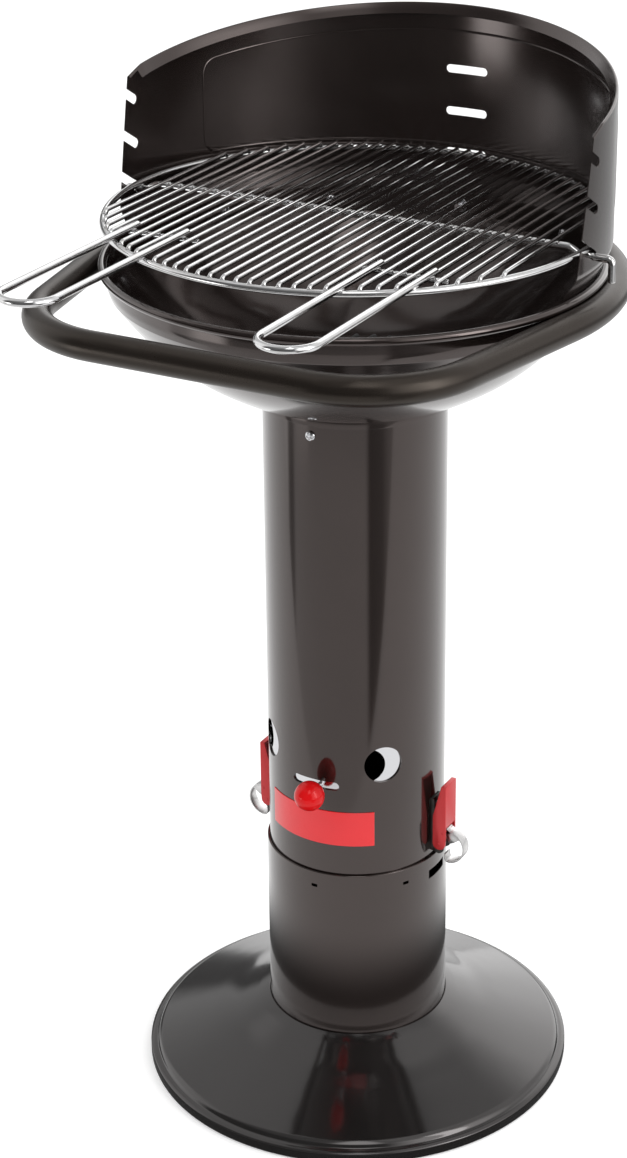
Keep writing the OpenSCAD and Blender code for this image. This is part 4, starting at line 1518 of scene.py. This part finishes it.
@dataclass
class Windshield:
    """The windshield: a curved sheet in the bowl's back half, notched at both front edges.

    The wall stands on a flare and a narrower skirt. Its top edge is folded inward by bends of
    bend_radius, hem_lean degrees off plumb, except at the front up to y = hem_start.
    """

    radius: float = 220.5
    sheet: float = 0.9
    skirt_radius: float = 211.4
    skirt_low: float = 777.0
    flare_low: float = 798.0
    flare_high: float = 814.0
    flare_corner: float = 3.5
    wall_low: float = 824.0
    top: float = 932.5
    top_slope: float = 0.165
    edge_y: float = -5.0
    edge_z: float = 928.0
    edge_slope: float = 0.195
    corner_slope: float = 0.364
    corner_y: float = 14.0
    hem: float = 8.6
    hem_lean: float = 27.0
    hem_start: float = 6.5
    hem_rise: float = 3.0
    hem_least: float = 0.1
    bend_radius: float = 1.0
    columns: int = 300
    rows: int = 33
    bend_rows: int = 8
    notch_y: float = 3.5
    notch_z: float = 826.2
    notch_pitch: float = 39.5
    notch_count: int = 3
    notch_radius: float = 4.25
    notch_angle: float = 31.0
    notch_length: float = 60.0
    notch_reach: float = 260.0
    slot_heights: tuple[float, ...] = (831.5, 870.0, 909.0)
    slot_half: float = 20.5
    slot_radius: float = 3.8
    slot_reach: tuple[float, float] = (190.0, 240.0)
    frame_half_angle: float = 66.0
    frame_low: float = 839.0
    frame_drop: float = 24.5
    frame_corner: float = 14.0
    frame_out: float = 0.2
    frame_bead: float = 1.15
    frame_points: int = 60

    def top_at(self, y: Array) -> Array:
        """Height of the top edge: a sloping plane, cut off steeper at the front corners.

        Args:
            y: places along Y.

        Returns:
            The heights there.
        """
        plane = self.top + self.top_slope * y
        corner = self.top + self.top_slope * self.corner_y + self.corner_slope * (y - self.corner_y)
        return np.minimum(plane, corner)

    def middle_lines(self) -> Array:
        """The middle of the sheet for each column, as (radius, height).

        A column runs up the skirt, out over the flare, up the wall to the top edge's height
        there, over a small arc and slanting down inside.

        Returns:
            The (columns, n, 2) points.
        """
        start = math.asin(self.edge_y / self.radius)
        y = self.radius * np.sin(np.linspace(start, math.pi - start, self.columns))
        wall = self.radius - self.sheet / 2
        skirt = self.skirt_radius - self.sheet / 2
        base = fillet(
            np.array([[skirt, self.skirt_low], [skirt, self.flare_low], [wall, self.flare_high],
                      [wall, self.wall_low]]),
            self.flare_corner, 5, closed=False,
        )
        lean, c = math.radians(self.hem_lean), self.bend_radius
        rise = np.linspace(0, 1, self.rows + 1)[1:]
        bend = np.linspace(0, math.pi - lean, self.bend_rows + 1)[1:]
        down = np.array([0.5, 1.0])
        spring = (self.top_at(y) - self.sheet / 2 - c)[:, None]
        share = np.clip((y - self.hem_start) / self.hem_rise, self.hem_least, 1)
        fold = self.hem * share[:, None] * down
        r_kept = np.concatenate([base[:, 0], np.full(self.rows, wall), wall - c + c * np.cos(bend)])
        r = np.concatenate([
            np.broadcast_to(r_kept, (self.columns, len(r_kept))), r_kept[-1] - math.tan(lean) * fold
        ], axis=1)
        z = np.concatenate([
            np.broadcast_to(base[:, 1], (self.columns, len(base))),
            self.wall_low + (spring - self.wall_low) * rise,
            spring + c * np.sin(bend), spring + c * math.sin(bend[-1]) - fold,
        ], axis=1)
        return np.stack([r, z], axis=-1)

    def surface(self) -> Shell:
        """The bent sheet with its folded top.

        Each column's middle line gets half the sheet to either side. A point at height z of a
        column is at the angle that goes evenly from one front edge to the other, where a front
        edge is at sin a = edge y(z) / radius.

        Returns:
            The sheet, closed along both front edges.
        """
        line = self.middle_lines()
        d = np.gradient(line, axis=1)
        d /= np.linalg.norm(d, axis=2, keepdims=True)
        side = np.stack([-d[..., 1], d[..., 0]], axis=-1) * self.sheet / 2
        r, z = np.moveaxis(np.concatenate([line + side, (line - side)[:, ::-1]], axis=1), 2, 0)
        edge_y = self.edge_y - self.edge_slope * (self.edge_z - z)
        edge = np.arcsin(np.clip(edge_y / r, -1, 1))
        a = edge + np.linspace(0, 1, self.columns)[:, None] * (math.pi - 2 * edge)
        grid = np.stack([r * np.cos(a), r * np.sin(a), z], axis=-1)
        rows, n = r.shape
        faces = grid_faces(rows, n, False, True).tolist()
        faces += [list(range(n)), list(range(n * (rows - 1), n * rows))[::-1]]
        return Shell(grid.reshape(-1, 3), faces).outward()

    def notch_cutter(self, height: float) -> Shell:
        """A slanting slot across both front edges: round end in the sheet, open to the front.

        Args:
            height: of the round end's middle.

        Returns:
            The slot, from one side of the windshield to the other.
        """
        r, far = self.notch_radius, -self.notch_length
        end = np.concatenate([arc((0.0, 0.0), r, -90, 90, 17), [[far, r], [far, -r]]])
        a = math.radians(-self.notch_angle)
        y = end[:, 0] * math.cos(a) - end[:, 1] * math.sin(a) + self.notch_y
        z = end[:, 0] * math.sin(a) + end[:, 1] * math.cos(a) + height
        reach = self.notch_reach
        return between([np.stack([np.full(len(y), x), y, z], axis=-1) for x in (-reach, reach)])

    def back_slot(self, height: float) -> Shell:
        """A long slot in the middle of the back.

        Args:
            height: of its middle.

        Returns:
            The slot, through the sheet.
        """
        straight = self.slot_half - self.slot_radius
        outline = np.concatenate([
            arc((straight, height), self.slot_radius, -90, 90, 15),
            arc((-straight, height), self.slot_radius, 90, 270, 15),
        ])
        return extruded(outline, *self.slot_reach)

    def build(self) -> None:
        """Makes the sheet, cuts its notches and slots, and adds the pressed frame."""
        obj = mesh_object("windshield_sheet", self.surface())
        heights = [self.notch_z + k * self.notch_pitch for k in range(self.notch_count)]
        cut(obj, [self.notch_cutter(z) for z in heights] + [self.back_slot(z) for z in self.slot_heights])
        true_walls(obj)
        finish_piece(obj, HEATED_ENAMEL, Body.COLUMN, ("windshield",))
        self.pressed_frame()

    def frame_top(self, x: float | Array) -> float | Array:
        """Height of the frame's top line at a distance round the wall from the back's middle."""
        inner = self.radius - self.sheet
        return self.top + self.top_slope * inner * np.cos(x / inner) - self.frame_drop

    def pressed_frame(self) -> None:
        """The frame line pressed in the sheet's inner face, with rounded corners.

        It is laid out in (distance round, height) on the wall, its corners are quadratic curves,
        and it is carried as a half-sunk bead; the top line keeps its drop under the sloping edge.
        """
        inner = self.radius - self.sheet
        side = math.radians(self.frame_half_angle) * inner
        corner, low, high = self.frame_corner, self.frame_low, self.frame_top(side)
        x = np.linspace(corner - side, side - corner, self.frame_points)
        upper = np.column_stack([x, self.frame_top(x)])
        lower = np.column_stack([x[::-1], np.full(len(x), low)])
        u = np.linspace(0, 1, 10)[:, None]
        curves = [
            (1 - u) ** 2 * np.array(start) + 2 * u * (1 - u) * np.array(tip) + u**2 * np.array(stop)
            for start, tip, stop in (
                (upper[-1], (side, high), (side, high - corner)),
                ((side, low + corner), (side, low), lower[0]),
                (lower[-1], (-side, low), (-side, low + corner)),
                ((-side, high - corner), (-side, high), upper[0]),
            )
        ]
        path = np.concatenate([upper[1:-1], *curves[:2], lower[1:-1], *curves[2:]])
        a = path[:, 0] / inner
        out = np.stack([np.sin(a), np.cos(a), 0 * a], axis=-1)
        points = out * (inner + self.frame_out) + path[:, 1:] * UP
        bead = swept(points, self.frame_bead, 10, out, closed=True)
        finish_piece(mesh_object("windshield_frame_line", bead), HEATED_ENAMEL, Body.COLUMN)


@dataclass
class Rail:
    """The rail: one tube bent round the bowl's front, with a cap in each end."""

    tube: float = 12.7
    height: float = 779.5
    arc_radius: float = 225.4
    front: float = 261.0
    corner: float = 98.0
    corner_x: float = 98.0
    end_angle: float = 64.0
    cap_height: float = 2.2
    cap_corner: float = 1.2
    cap_gap: float = 0.05

    def path(self) -> Array:
        """The centreline: back arc, slanting side, front corner and front bar, mirrored.

        A side is the line that touches both the circle about the axis and the corner's circle.

        Returns:
            The (n, 3) points, from the right end to the left one.
        """
        cy = self.corner - self.front
        apart = math.hypot(self.corner_x, cy)
        turn = math.acos((self.arc_radius - self.corner) / apart)
        lean = math.degrees(math.atan2(cy, self.corner_x) + turn)
        back = arc((0, 0), self.arc_radius, self.end_angle, lean, 60)
        bend = arc((self.corner_x, cy), self.corner, lean, -90, 48)
        straight = np.linspace(back[-1], bend[0], 14)[1:-1]
        right = np.concatenate([back, straight, bend])
        bar = np.linspace(bend[-1], bend[-1] * [-1, 1], 24)[1:-1]
        flat = np.concatenate([right, bar, right[::-1] * [-1, 1]])
        return np.column_stack([flat, np.full(len(flat), self.height)])

    def build(self) -> None:
        """Makes the tube and its caps."""
        path = self.path()
        tube = swept(path, self.tube, 48, UP)
        finish_piece(mesh_object("rail", tube, 50.0), SATIN_BLACK, Body.COLUMN, ("rail_tube",))
        edge, top, gap = self.cap_corner, self.cap_height, self.cap_gap
        bend = arc((self.tube - edge, top - edge), edge, 90, 0, 6)
        cap = lathe(np.concatenate([[[0, top]], bend, [[self.tube, gap], [0, gap]]]), 48)
        x, y, z = cap.points.T
        laid = Shell(np.stack([x, z, y], axis=-1), cap.faces).outward()
        right = laid.turned(self.end_angle).moved(*path[0])
        caps = merged([right, right.mirrored()])
        finish_piece(mesh_object("rail_end_caps", caps), BLACK_PLASTIC, Body.COLUMN, ("rail_caps",))


@dataclass
class CookingGrid:
    """The cooking grid: ring, rods, crossbar, two short bars and two wire handles.

    The crossbar reaches bar_out to the right and bar_left to the left. handle_rods counts from
    the middle which rods end at the handles' wires.
    """

    centre_y: float = 2.0
    radius: float = 214.0
    ring_wire: float = 3.0
    ring_z: float = 831.5
    rod_wire: float = 1.95
    rod_count: int = 32
    pitch: float = 12.0442
    weld: float = 0.3
    bar_wire: float = 3.3
    bar_y: float = 3.0
    bar_out: float = 236.5
    bar_left: float = 230.0
    bar_hook: float = 806.0
    bar_step_in: float = 15.5
    bar_step: float = 10.0
    bar_bend: float = 5.0
    short_y: float = -129.0
    short_wire: float = 2.5
    short_over: float = 14.0
    short_weld: float = 0.25
    handle_wire: float = 3.3
    handle_reach: float = 344.0
    handle_in: float = -124.0
    handle_rods: tuple[int, int] = (7, 11)
    elbow: float = 3.2
    rod_short: float = 1.5
    drop_radius: float = 2.4
    drop_height: float = 1.3

    @property
    def rod_z(self) -> float:
        """Height of the rods' centrelines, resting on the ring."""
        return self.ring_z + self.ring_wire - self.weld + self.rod_wire

    def rod_x(self, k: int) -> float:
        """How far right the k-th rod lies."""
        return (k + 0.5 - self.rod_count / 2) * self.pitch

    def on_handle(self, k: int) -> bool:
        """Whether a handle's wire takes the place of the k-th rod's front."""
        half = self.rod_count // 2
        return k in {half + i for i in self.handle_rods} | {half - 1 - i for i in self.handle_rods}

    def build(self) -> None:
        """Makes the grid's wires."""
        self.ring()
        self.rods()
        self.crossbar()
        self.short_bars()
        for side in Side:
            self.handle(side)
        self.welds()

    def ring(self) -> None:
        """The ring: a closed circle of wire."""
        a = np.radians(np.linspace(0, 360, 240, endpoint=False))
        x, y = self.radius * np.cos(a), self.centre_y + self.radius * np.sin(a)
        path = np.column_stack([x, y, np.full(len(a), self.ring_z)])
        shell = swept(path, self.ring_wire, 20, UP, closed=True)
        finish_piece(mesh_object("cooking_ring", shell), CHROME, Body.COOKING_GRID, ("grid_ring",))

    def rod_span(self, k: int) -> tuple[float, float]:
        """Where the k-th rod ends, from the ring's circle at its x.

        Args:
            k: the rod's number from the left.

        Returns:
            Its front and its back y.
        """
        span = math.sqrt((self.radius - self.rod_short) ** 2 - self.rod_x(k) ** 2)
        front = self.handle_in + 0.2 if self.on_handle(k) else self.centre_y - span
        return front, self.centre_y + span

    def rods(self) -> None:
        """The rods: straight, with each end bent down into its weld on the ring."""
        shells = []
        e, z = self.elbow, self.rod_z
        for k in range(self.rod_count):
            front, back = self.rod_span(k)
            start = [[front, z]] if self.on_handle(k) else arc((front + e, z - e), e, 180, 90, 7)
            flat = np.concatenate([start, arc((back - e, z - e), e, 90, 0, 7)])
            path = np.column_stack([np.full(len(flat), self.rod_x(k)), flat])
            shells.append(swept(path, self.rod_wire, 12, np.array([1.0, 0.0, 0.0])))
        obj = mesh_object("cooking_rods", merged(shells), 60.0)
        finish_piece(obj, CHROME, Body.COOKING_GRID, ("grid_rods",))

    def crossbar(self) -> None:
        """The crossbar under the rods: steps down past the ring, runs out and turns down."""
        z_in = self.rod_z - self.rod_wire - self.bar_wire + self.weld
        z_out = self.ring_z - self.ring_wire - self.bar_wire + self.weld
        near = self.radius - self.bar_step_in
        far = near + self.bar_step
        left, right = (
            np.array([[near, z_in], [far, z_out], [reach, z_out], [reach, self.bar_hook]])
            for reach in (self.bar_left, self.bar_out)
        )
        corners = np.concatenate([left[::-1] * [-1, 1], right])
        flat = fillet(corners, self.bar_bend, 8, closed=False)
        path = np.column_stack([flat[:, 0], np.full(len(flat), self.bar_y), flat[:, 1]])
        shell = swept(path, self.bar_wire, 20, np.array([0.0, 1.0, 0.0]))
        obj = mesh_object("cooking_crossbar", shell, 60.0)
        finish_piece(obj, CHROME, Body.COOKING_GRID, ("grid_crossbar",))

    def short_bars(self) -> None:
        """The two short bars that tie the handles' inner ends to the rods."""
        first, last = self.handle_sides()
        z = self.rod_z - self.rod_wire - self.short_wire + self.short_weld
        shells = []
        for side in Side:
            x = side.value * np.linspace(first - self.short_over, last + self.short_over, 6)
            path = np.column_stack([x, np.full(len(x), self.short_y), np.full(len(x), z)])
            shells.append(swept(path, self.short_wire, 16, UP))
        obj = mesh_object("cooking_short_bars", merged(shells), 60.0)
        finish_piece(obj, CHROME, Body.COOKING_GRID, ("grid_short_bars",))

    def handle_sides(self) -> tuple[float, float]:
        """How far right the two sides of the right handle lie."""
        near, far = (self.rod_x(self.rod_count // 2 + i) for i in self.handle_rods)
        return near, far

    def handle(self, side: Side) -> None:
        """A handle: a long U of wire.

        Args:
            side: which of the two it is.
        """
        near, far = self.handle_sides()
        r = (far - near) / 2
        y = -self.handle_reach + self.handle_wire + r
        z = self.ring_z + self.ring_wire - self.weld + self.handle_wire
        flat = np.concatenate([
            np.linspace([near, self.handle_in], [near, y], 12)[:-1], arc((near + r, y), r, 180, 360, 40),
            np.linspace([far, y], [far, self.handle_in], 12)[1:],
        ])
        path = np.column_stack([side.value * flat[:, 0], flat[:, 1], np.full(len(flat), z)])
        shell = swept(path, self.handle_wire, 24, UP)
        name = side.name.lower()
        obj = mesh_object(f"cooking_handle_{name}", shell, 60.0)
        finish_piece(obj, CHROME, Body.COOKING_GRID, (f"grid_handle_{name}",))

    def welds(self) -> None:
        """Small weld lenses where the rods lie on the ring and the crossbar: flattened balls."""
        polar = np.radians(np.linspace(0, 180, 7))
        line = np.stack([self.drop_radius * np.sin(polar), -self.drop_height * np.cos(polar)], axis=-1)
        ball = lathe(line, 10)
        z = self.rod_z - self.rod_wire
        shells = []
        for k in range(self.rod_count):
            x = self.rod_x(k)
            reach = math.sqrt(self.radius**2 - x**2) - self.rod_short
            shells.append(ball.moved(x, self.centre_y + reach, z))
            shells.append(ball.moved(x, self.bar_y, z))
            if not self.on_handle(k):
                shells.append(ball.moved(x, self.centre_y - reach, z))
        obj = mesh_object("cooking_welds", merged(shells))
        finish_piece(obj, CHROME, Body.COOKING_GRID)


class LeftAsBuilt:
    """Frame nodes whose shape stays: each gets its finish on the frame's own mesh."""

    finishes: dict[str, Finish] = {
        "base_bottom": ENAMEL,
        "foot_screws": ZINC,
        "charcoal_ring": DARK_WIRE,
        "charcoal_rods": DARK_WIRE,
    }

    def build(self, nodes: dict[str, bpy.types.Object]) -> None:
        """Puts each finish in the node's material slot.

        Args:
            nodes: the frame's nodes by name.
        """
        for name, finish in self.finishes.items():
            obj = nodes[name]
            for slot in obj.material_slots:
                slot.material = finish.material()
            if not obj.material_slots:
                obj.data.materials.append(finish.material())
            log.info("node %s keeps its shape", name)


@dataclass(frozen=True)
class Lamp:
    """A rectangular lamp, in metres and watts, that gloss may mirror or not."""

    name: str
    place: tuple[float, float, float]
    size: tuple[float, float]
    power: float
    mirrored: bool


@dataclass
class Studio:
    """Camera, floor, world and lamps, in metres.

    The object stands on a white board. What gloss mirrors beyond the board's edge is the room:
    its brightness goes by the direction from the axis, in degrees from the front, and fades from
    near_room to far_room with the distance. Gloss mirrors the walls and the ceiling as low_sky,
    mid_sky and high_sky, by how far up the mirrored ray goes: mid_rise and high_rise are the
    heights of its direction between which one goes over into the next.
    """

    place: tuple[float, float, float] = (1.01708, -1.91284, 1.48476)
    right: tuple[float, float, float] = (0.89010751, 0.45574796, 0.00155687)
    up: tuple[float, float, float] = (-0.18030844, 0.34901349, 0.91960777)
    ahead: tuple[float, float, float] = (-0.41856599, 0.8188305, -0.39283473)
    focal: float = 2642.2
    centre: tuple[float, float] = (394.9, 508.9)
    image: tuple[float, float] = (627.0, 1158.0)
    sensor: float = 24.0
    floor_half: float = 9.0
    floor_grey: float = 0.86
    floor_glow: float = 0.3
    board: float = 0.95
    board_edge: float = 0.58
    board_soft: float = 0.01
    board_turn: float = 3.3
    board_far: tuple[float, float] = (1.8, 2.6)
    # Painted contact shadow on the mirrored floor: the distances over which it fades out, and its darkest
    # brightness.
    contact: tuple[float, float] = (0.23, 0.36)
    contact_dark: float = 0.1
    near_room: Points = (
        (-180, 1.0), (-63, 1.1), (-60, 0.25), (-54, 0.25), (-50, 0.72), (40, 0.75), (45, 0.15),
        (60, 0.2), (68, 0.45), (90, 0.8), (115, 1.0), (180, 1.0),
    )
    far_room: Points = (
        (-180, 0.5), (-50, 1.3), (-44, 3.0), (-33, 3.4), (-28, 0.04), (34, 0.04), (46, 0.22),
        (60, 0.42), (70, 0.6), (100, 0.5), (118, 0.3), (180, 0.4),
    )
    low_sky: Points = (
        (-180, 1.5), (-147, 1.4), (-139, 0.12), (-118, 0.12), (-108, 1.0), (-66, 1.0), (-56, 0.12),
        (42, 0.12), (60, 2.0), (98, 1.8), (115, 0.9), (150, 0.9), (165, 1.5), (180, 1.5),
    )
    mid_sky: Points = (
        (-180, 1.6), (-152, 1.5), (-144, 0.6), (-110, 0.6), (-100, 1.0), (-66, 1.0), (-56, 0.12),
        (42, 0.12), (60, 2.0), (98, 1.8), (115, 0.8), (150, 0.9), (165, 1.5), (180, 1.6),
    )
    high_sky: Points = (
        (-180, 0.3), (-168, 0.2), (-162, 0.6), (-66, 0.7), (-50, 0.3), (8, 0.3), (16, 2.4), (38, 2.4),
        (48, 0.4), (60, 0.8), (150, 0.8), (180, 0.3),
    )
    room_fade: tuple[float, float] = (1.5, 3.0)
    mid_rise: tuple[float, float] = (0.18, 0.3)
    high_rise: tuple[float, float] = (0.6, 0.82)
    brightest: float = 4.0
    aim: tuple[float, float, float] = (0.0, 0.0, 0.5)
    lights: tuple[Lamp, ...] = (
        Lamp("overhead", (0.6, 0.6, 2.6), (1.6, 1.2), 18.0, mirrored=False),
        Lamp("strip", (1.9, -0.4, 1.3), (0.5, 1.8), 9.0, mirrored=True),
    )

    def camera(self) -> None:
        """The camera that the photograph was fitted with: its axes, focal length and shift."""
        data = bpy.data.cameras.new("camera")
        width, height = self.image
        data.sensor_fit = "VERTICAL"
        data.sensor_height = self.sensor
        data.lens = self.sensor * self.focal / height
        data.shift_x = (width / 2 - self.centre[0]) / height
        data.shift_y = (self.centre[1] - height / 2) / height
        data.clip_end = 50.0
        obj = bpy.data.objects.new("camera", data)
        bpy.context.scene.collection.objects.link(obj)
        basis = np.eye(4)
        basis[:3, 0], basis[:3, 1] = self.right, self.up
        basis[:3, 2], basis[:3, 3] = -np.array(self.ahead), self.place
        obj.matrix_world = Matrix(basis.tolist())
        bpy.context.scene.camera = obj

    def floor(self) -> None:
        """A pale floor that stays nearly white to the camera and keeps the object's shadow."""
        size = self.floor_half
        mesh = bpy.data.meshes.new("floor")
        corners = [(-size, -size, 0), (size, -size, 0), (size, size, 0), (-size, size, 0)]
        mesh.from_pydata(corners, [], [(0, 1, 2, 3)])
        obj = bpy.data.objects.new("floor", mesh)
        bpy.context.scene.collection.objects.link(obj)
        made = bpy.data.materials.new("floor")
        made.use_nodes = True
        tree = made.node_tree
        tree.nodes.clear()
        out = tree.nodes.new("ShaderNodeOutputMaterial")
        matt = tree.nodes.new("ShaderNodeBsdfDiffuse")
        matt.inputs["Color"].default_value = (*[self.floor_grey] * 3, 1.0)
        glow = tree.nodes.new("ShaderNodeEmission")
        ray = tree.nodes.new("ShaderNodeLightPath")
        strength = worked(tree, "MULTIPLY", ray.outputs["Is Camera Ray"], self.floor_glow)
        tree.links.new(strength, glow.inputs["Strength"])
        total = tree.nodes.new("ShaderNodeAddShader")
        tree.links.new(matt.outputs["BSDF"], total.inputs[0])
        tree.links.new(glow.outputs["Emission"], total.inputs[1])
        mirrored = tree.nodes.new("ShaderNodeEmission")
        tree.links.new(self.mirrored_floor(tree), mirrored.inputs["Strength"])
        choice = tree.nodes.new("ShaderNodeMixShader")
        tree.links.new(ray.outputs["Is Glossy Ray"], choice.inputs["Fac"])
        tree.links.new(total.outputs["Shader"], choice.inputs[1])
        tree.links.new(mirrored.outputs["Emission"], choice.inputs[2])
        tree.links.new(choice.outputs["Shader"], out.inputs["Surface"])
        mesh.materials.append(made)

    def mirrored_floor(self, tree: Tree) -> Socket:
        """Brightness of the floor as gloss mirrors it: painted contact shadow, white board, room beyond.

        Args:
            tree: the floor material's nodes.

        Returns:
            The brightness by the place on the floor.
        """
        coords = tree.nodes.new("ShaderNodeTexCoord").outputs["Object"]
        split = tree.nodes.new("ShaderNodeSeparateXYZ")
        tree.links.new(coords, split.inputs["Vector"])
        x, y = split.outputs["X"], split.outputs["Y"]
        length = tree.nodes.new("ShaderNodeVectorMath")
        length.operation = "LENGTH"
        tree.links.new(coords, length.inputs[0])
        far = length.outputs["Value"]
        turn = self.direction(tree, x, y)
        near_room, far_room = (self.ramp(tree, turn, stops) for stops in (self.near_room, self.far_room))
        room = mixed(tree, smooth_step(tree, far, *self.room_fade), near_room, far_room)
        a = math.radians(self.board_turn)
        ahead = worked(tree, "MULTIPLY_ADD", x, math.sin(a), worked(tree, "MULTIPLY", y, -math.cos(a)))
        edge, soft = self.board_edge, self.board_soft
        front = smooth_step(tree, ahead, edge - soft, edge + soft)
        beyond = worked(tree, "MAXIMUM", front, smooth_step(tree, far, *self.board_far))
        # Painted contact shadow: the mirrored floor is darker near the foot, since gloss sees no cast
        # shadow on it.
        painted_shadow = mixed(tree, smooth_step(tree, far, *self.contact), self.contact_dark, 1.0)
        return worked(tree, "MULTIPLY", mixed(tree, beyond, self.board, room), painted_shadow)

    def direction(self, tree: Tree, x: Socket, y: Socket) -> Socket:
        """The direction of (x, y) round the axis, 0 to 1 for -180 to 180 degrees from the front."""
        angle = worked(tree, "ARCTAN2", x, worked(tree, "MULTIPLY", y, -1.0))
        return worked(tree, "MULTIPLY_ADD", angle, 0.5 / math.pi, 0.5)

    def ramp(self, tree: Tree, turn: Socket, stops: Points) -> Socket:
        """The room's brightness round the axis.

        Args:
            tree: the nodes of the floor's material or of the world.
            turn: the direction, 0 to 1 for -180 to 180 degrees.
            stops: pairs of direction in degrees and brightness.

        Returns:
            The brightness in that direction.
        """
        full = self.brightest
        ramp = tree.nodes.new("ShaderNodeValToRGB")
        elements = ramp.color_ramp.elements
        while len(elements) < len(stops):
            elements.new(1.0)
        for element, (degrees, light) in zip(elements, stops):
            element.position = degrees / 360 + 0.5
            element.color = (*[light / full] * 3, 1.0)
        tree.links.new(turn, ramp.inputs["Fac"])
        return worked(tree, "MULTIPLY", ramp.outputs["Color"], full)

    def world(self) -> None:
        """A white surround; gloss mirrors the room's walls and ceiling instead."""
        world = bpy.data.worlds.new("surround")
        bpy.context.scene.world = world
        world.use_nodes = True
        tree = world.node_tree
        tree.nodes.clear()
        out = tree.nodes.new("ShaderNodeOutputWorld")
        white = tree.nodes.new("ShaderNodeBackground")
        white.inputs["Color"].default_value = (1.0, 1.0, 1.0, 1.0)
        coords = tree.nodes.new("ShaderNodeTexCoord")
        split = tree.nodes.new("ShaderNodeSeparateXYZ")
        tree.links.new(coords.outputs["Generated"], split.inputs["Vector"])
        x, y, z = (split.outputs[axis] for axis in "XYZ")
        turn = self.direction(tree, x, y)
        low, mid, high = (
            self.ramp(tree, turn, stops) for stops in (self.low_sky, self.mid_sky, self.high_sky)
        )
        walls = mixed(tree, smooth_step(tree, z, *self.mid_rise), low, mid)
        room = mixed(tree, smooth_step(tree, z, *self.high_rise), walls, high)
        ray = tree.nodes.new("ShaderNodeLightPath")
        tree.links.new(mixed(tree, ray.outputs["Is Glossy Ray"], 1.0, room), white.inputs["Strength"])
        tree.links.new(white.outputs["Background"], out.inputs["Surface"])

    def lamps(self) -> None:
        """Soft lamps that point at the object: a broad one overhead and a strip on the right."""
        for lamp in self.lights:
            data = bpy.data.lights.new(lamp.name, "AREA")
            data.shape = "RECTANGLE"
            data.size, data.size_y = lamp.size
            data.energy = lamp.power
            obj = bpy.data.objects.new(lamp.name, data)
            obj.visible_glossy = lamp.mirrored
            bpy.context.scene.collection.objects.link(obj)
            toward = np.array(self.aim) - np.array(lamp.place)
            toward /= np.linalg.norm(toward)
            right = np.cross(toward, UP)
            right /= np.linalg.norm(right)
            basis = np.eye(4)
            basis[:3, 0], basis[:3, 1] = right, np.cross(right, toward)
            basis[:3, 2], basis[:3, 3] = -toward, lamp.place
            obj.matrix_world = Matrix(basis.tolist())

    def build(self) -> None:
        """Makes the studio and sets the plain view transform."""
        self.camera()
        self.floor()
        self.world()
        self.lamps()
        bpy.context.scene.view_settings.view_transform = "Standard"


class Part(Protocol):
    """A sub-assembly that makes and dresses its own pieces."""

    def build(self) -> None:
        """Makes the pieces."""


@dataclass
class Grill:
    """The whole grill: its sub-assemblies in the order they are built."""

    parts: list[Part] = field(default_factory=lambda: [
        Foot(), LowerTube(), Pillar(), AirRing(), Fasteners(), Latch(Side.RIGHT), Latch(Side.LEFT),
        Bowl(), Windshield(), Rail(), CookingGrid(),
    ])

    def build(self, nodes: dict[str, bpy.types.Object]) -> None:
        """Builds every sub-assembly.

        Args:
            nodes: the frame's nodes by name.
        """
        for part in self.parts:
            part.build()
            log.info("%s built", type(part).__name__)
        LeftAsBuilt().build(nodes)


def main() -> None:
    """Loads the frame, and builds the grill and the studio."""
    logging.basicConfig(level=logging.INFO, format="%(name)s: %(message)s")
    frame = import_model()
    Studio().build()
    Grill().build(frame["nodes"])


if __name__ == "__main__":
    main()
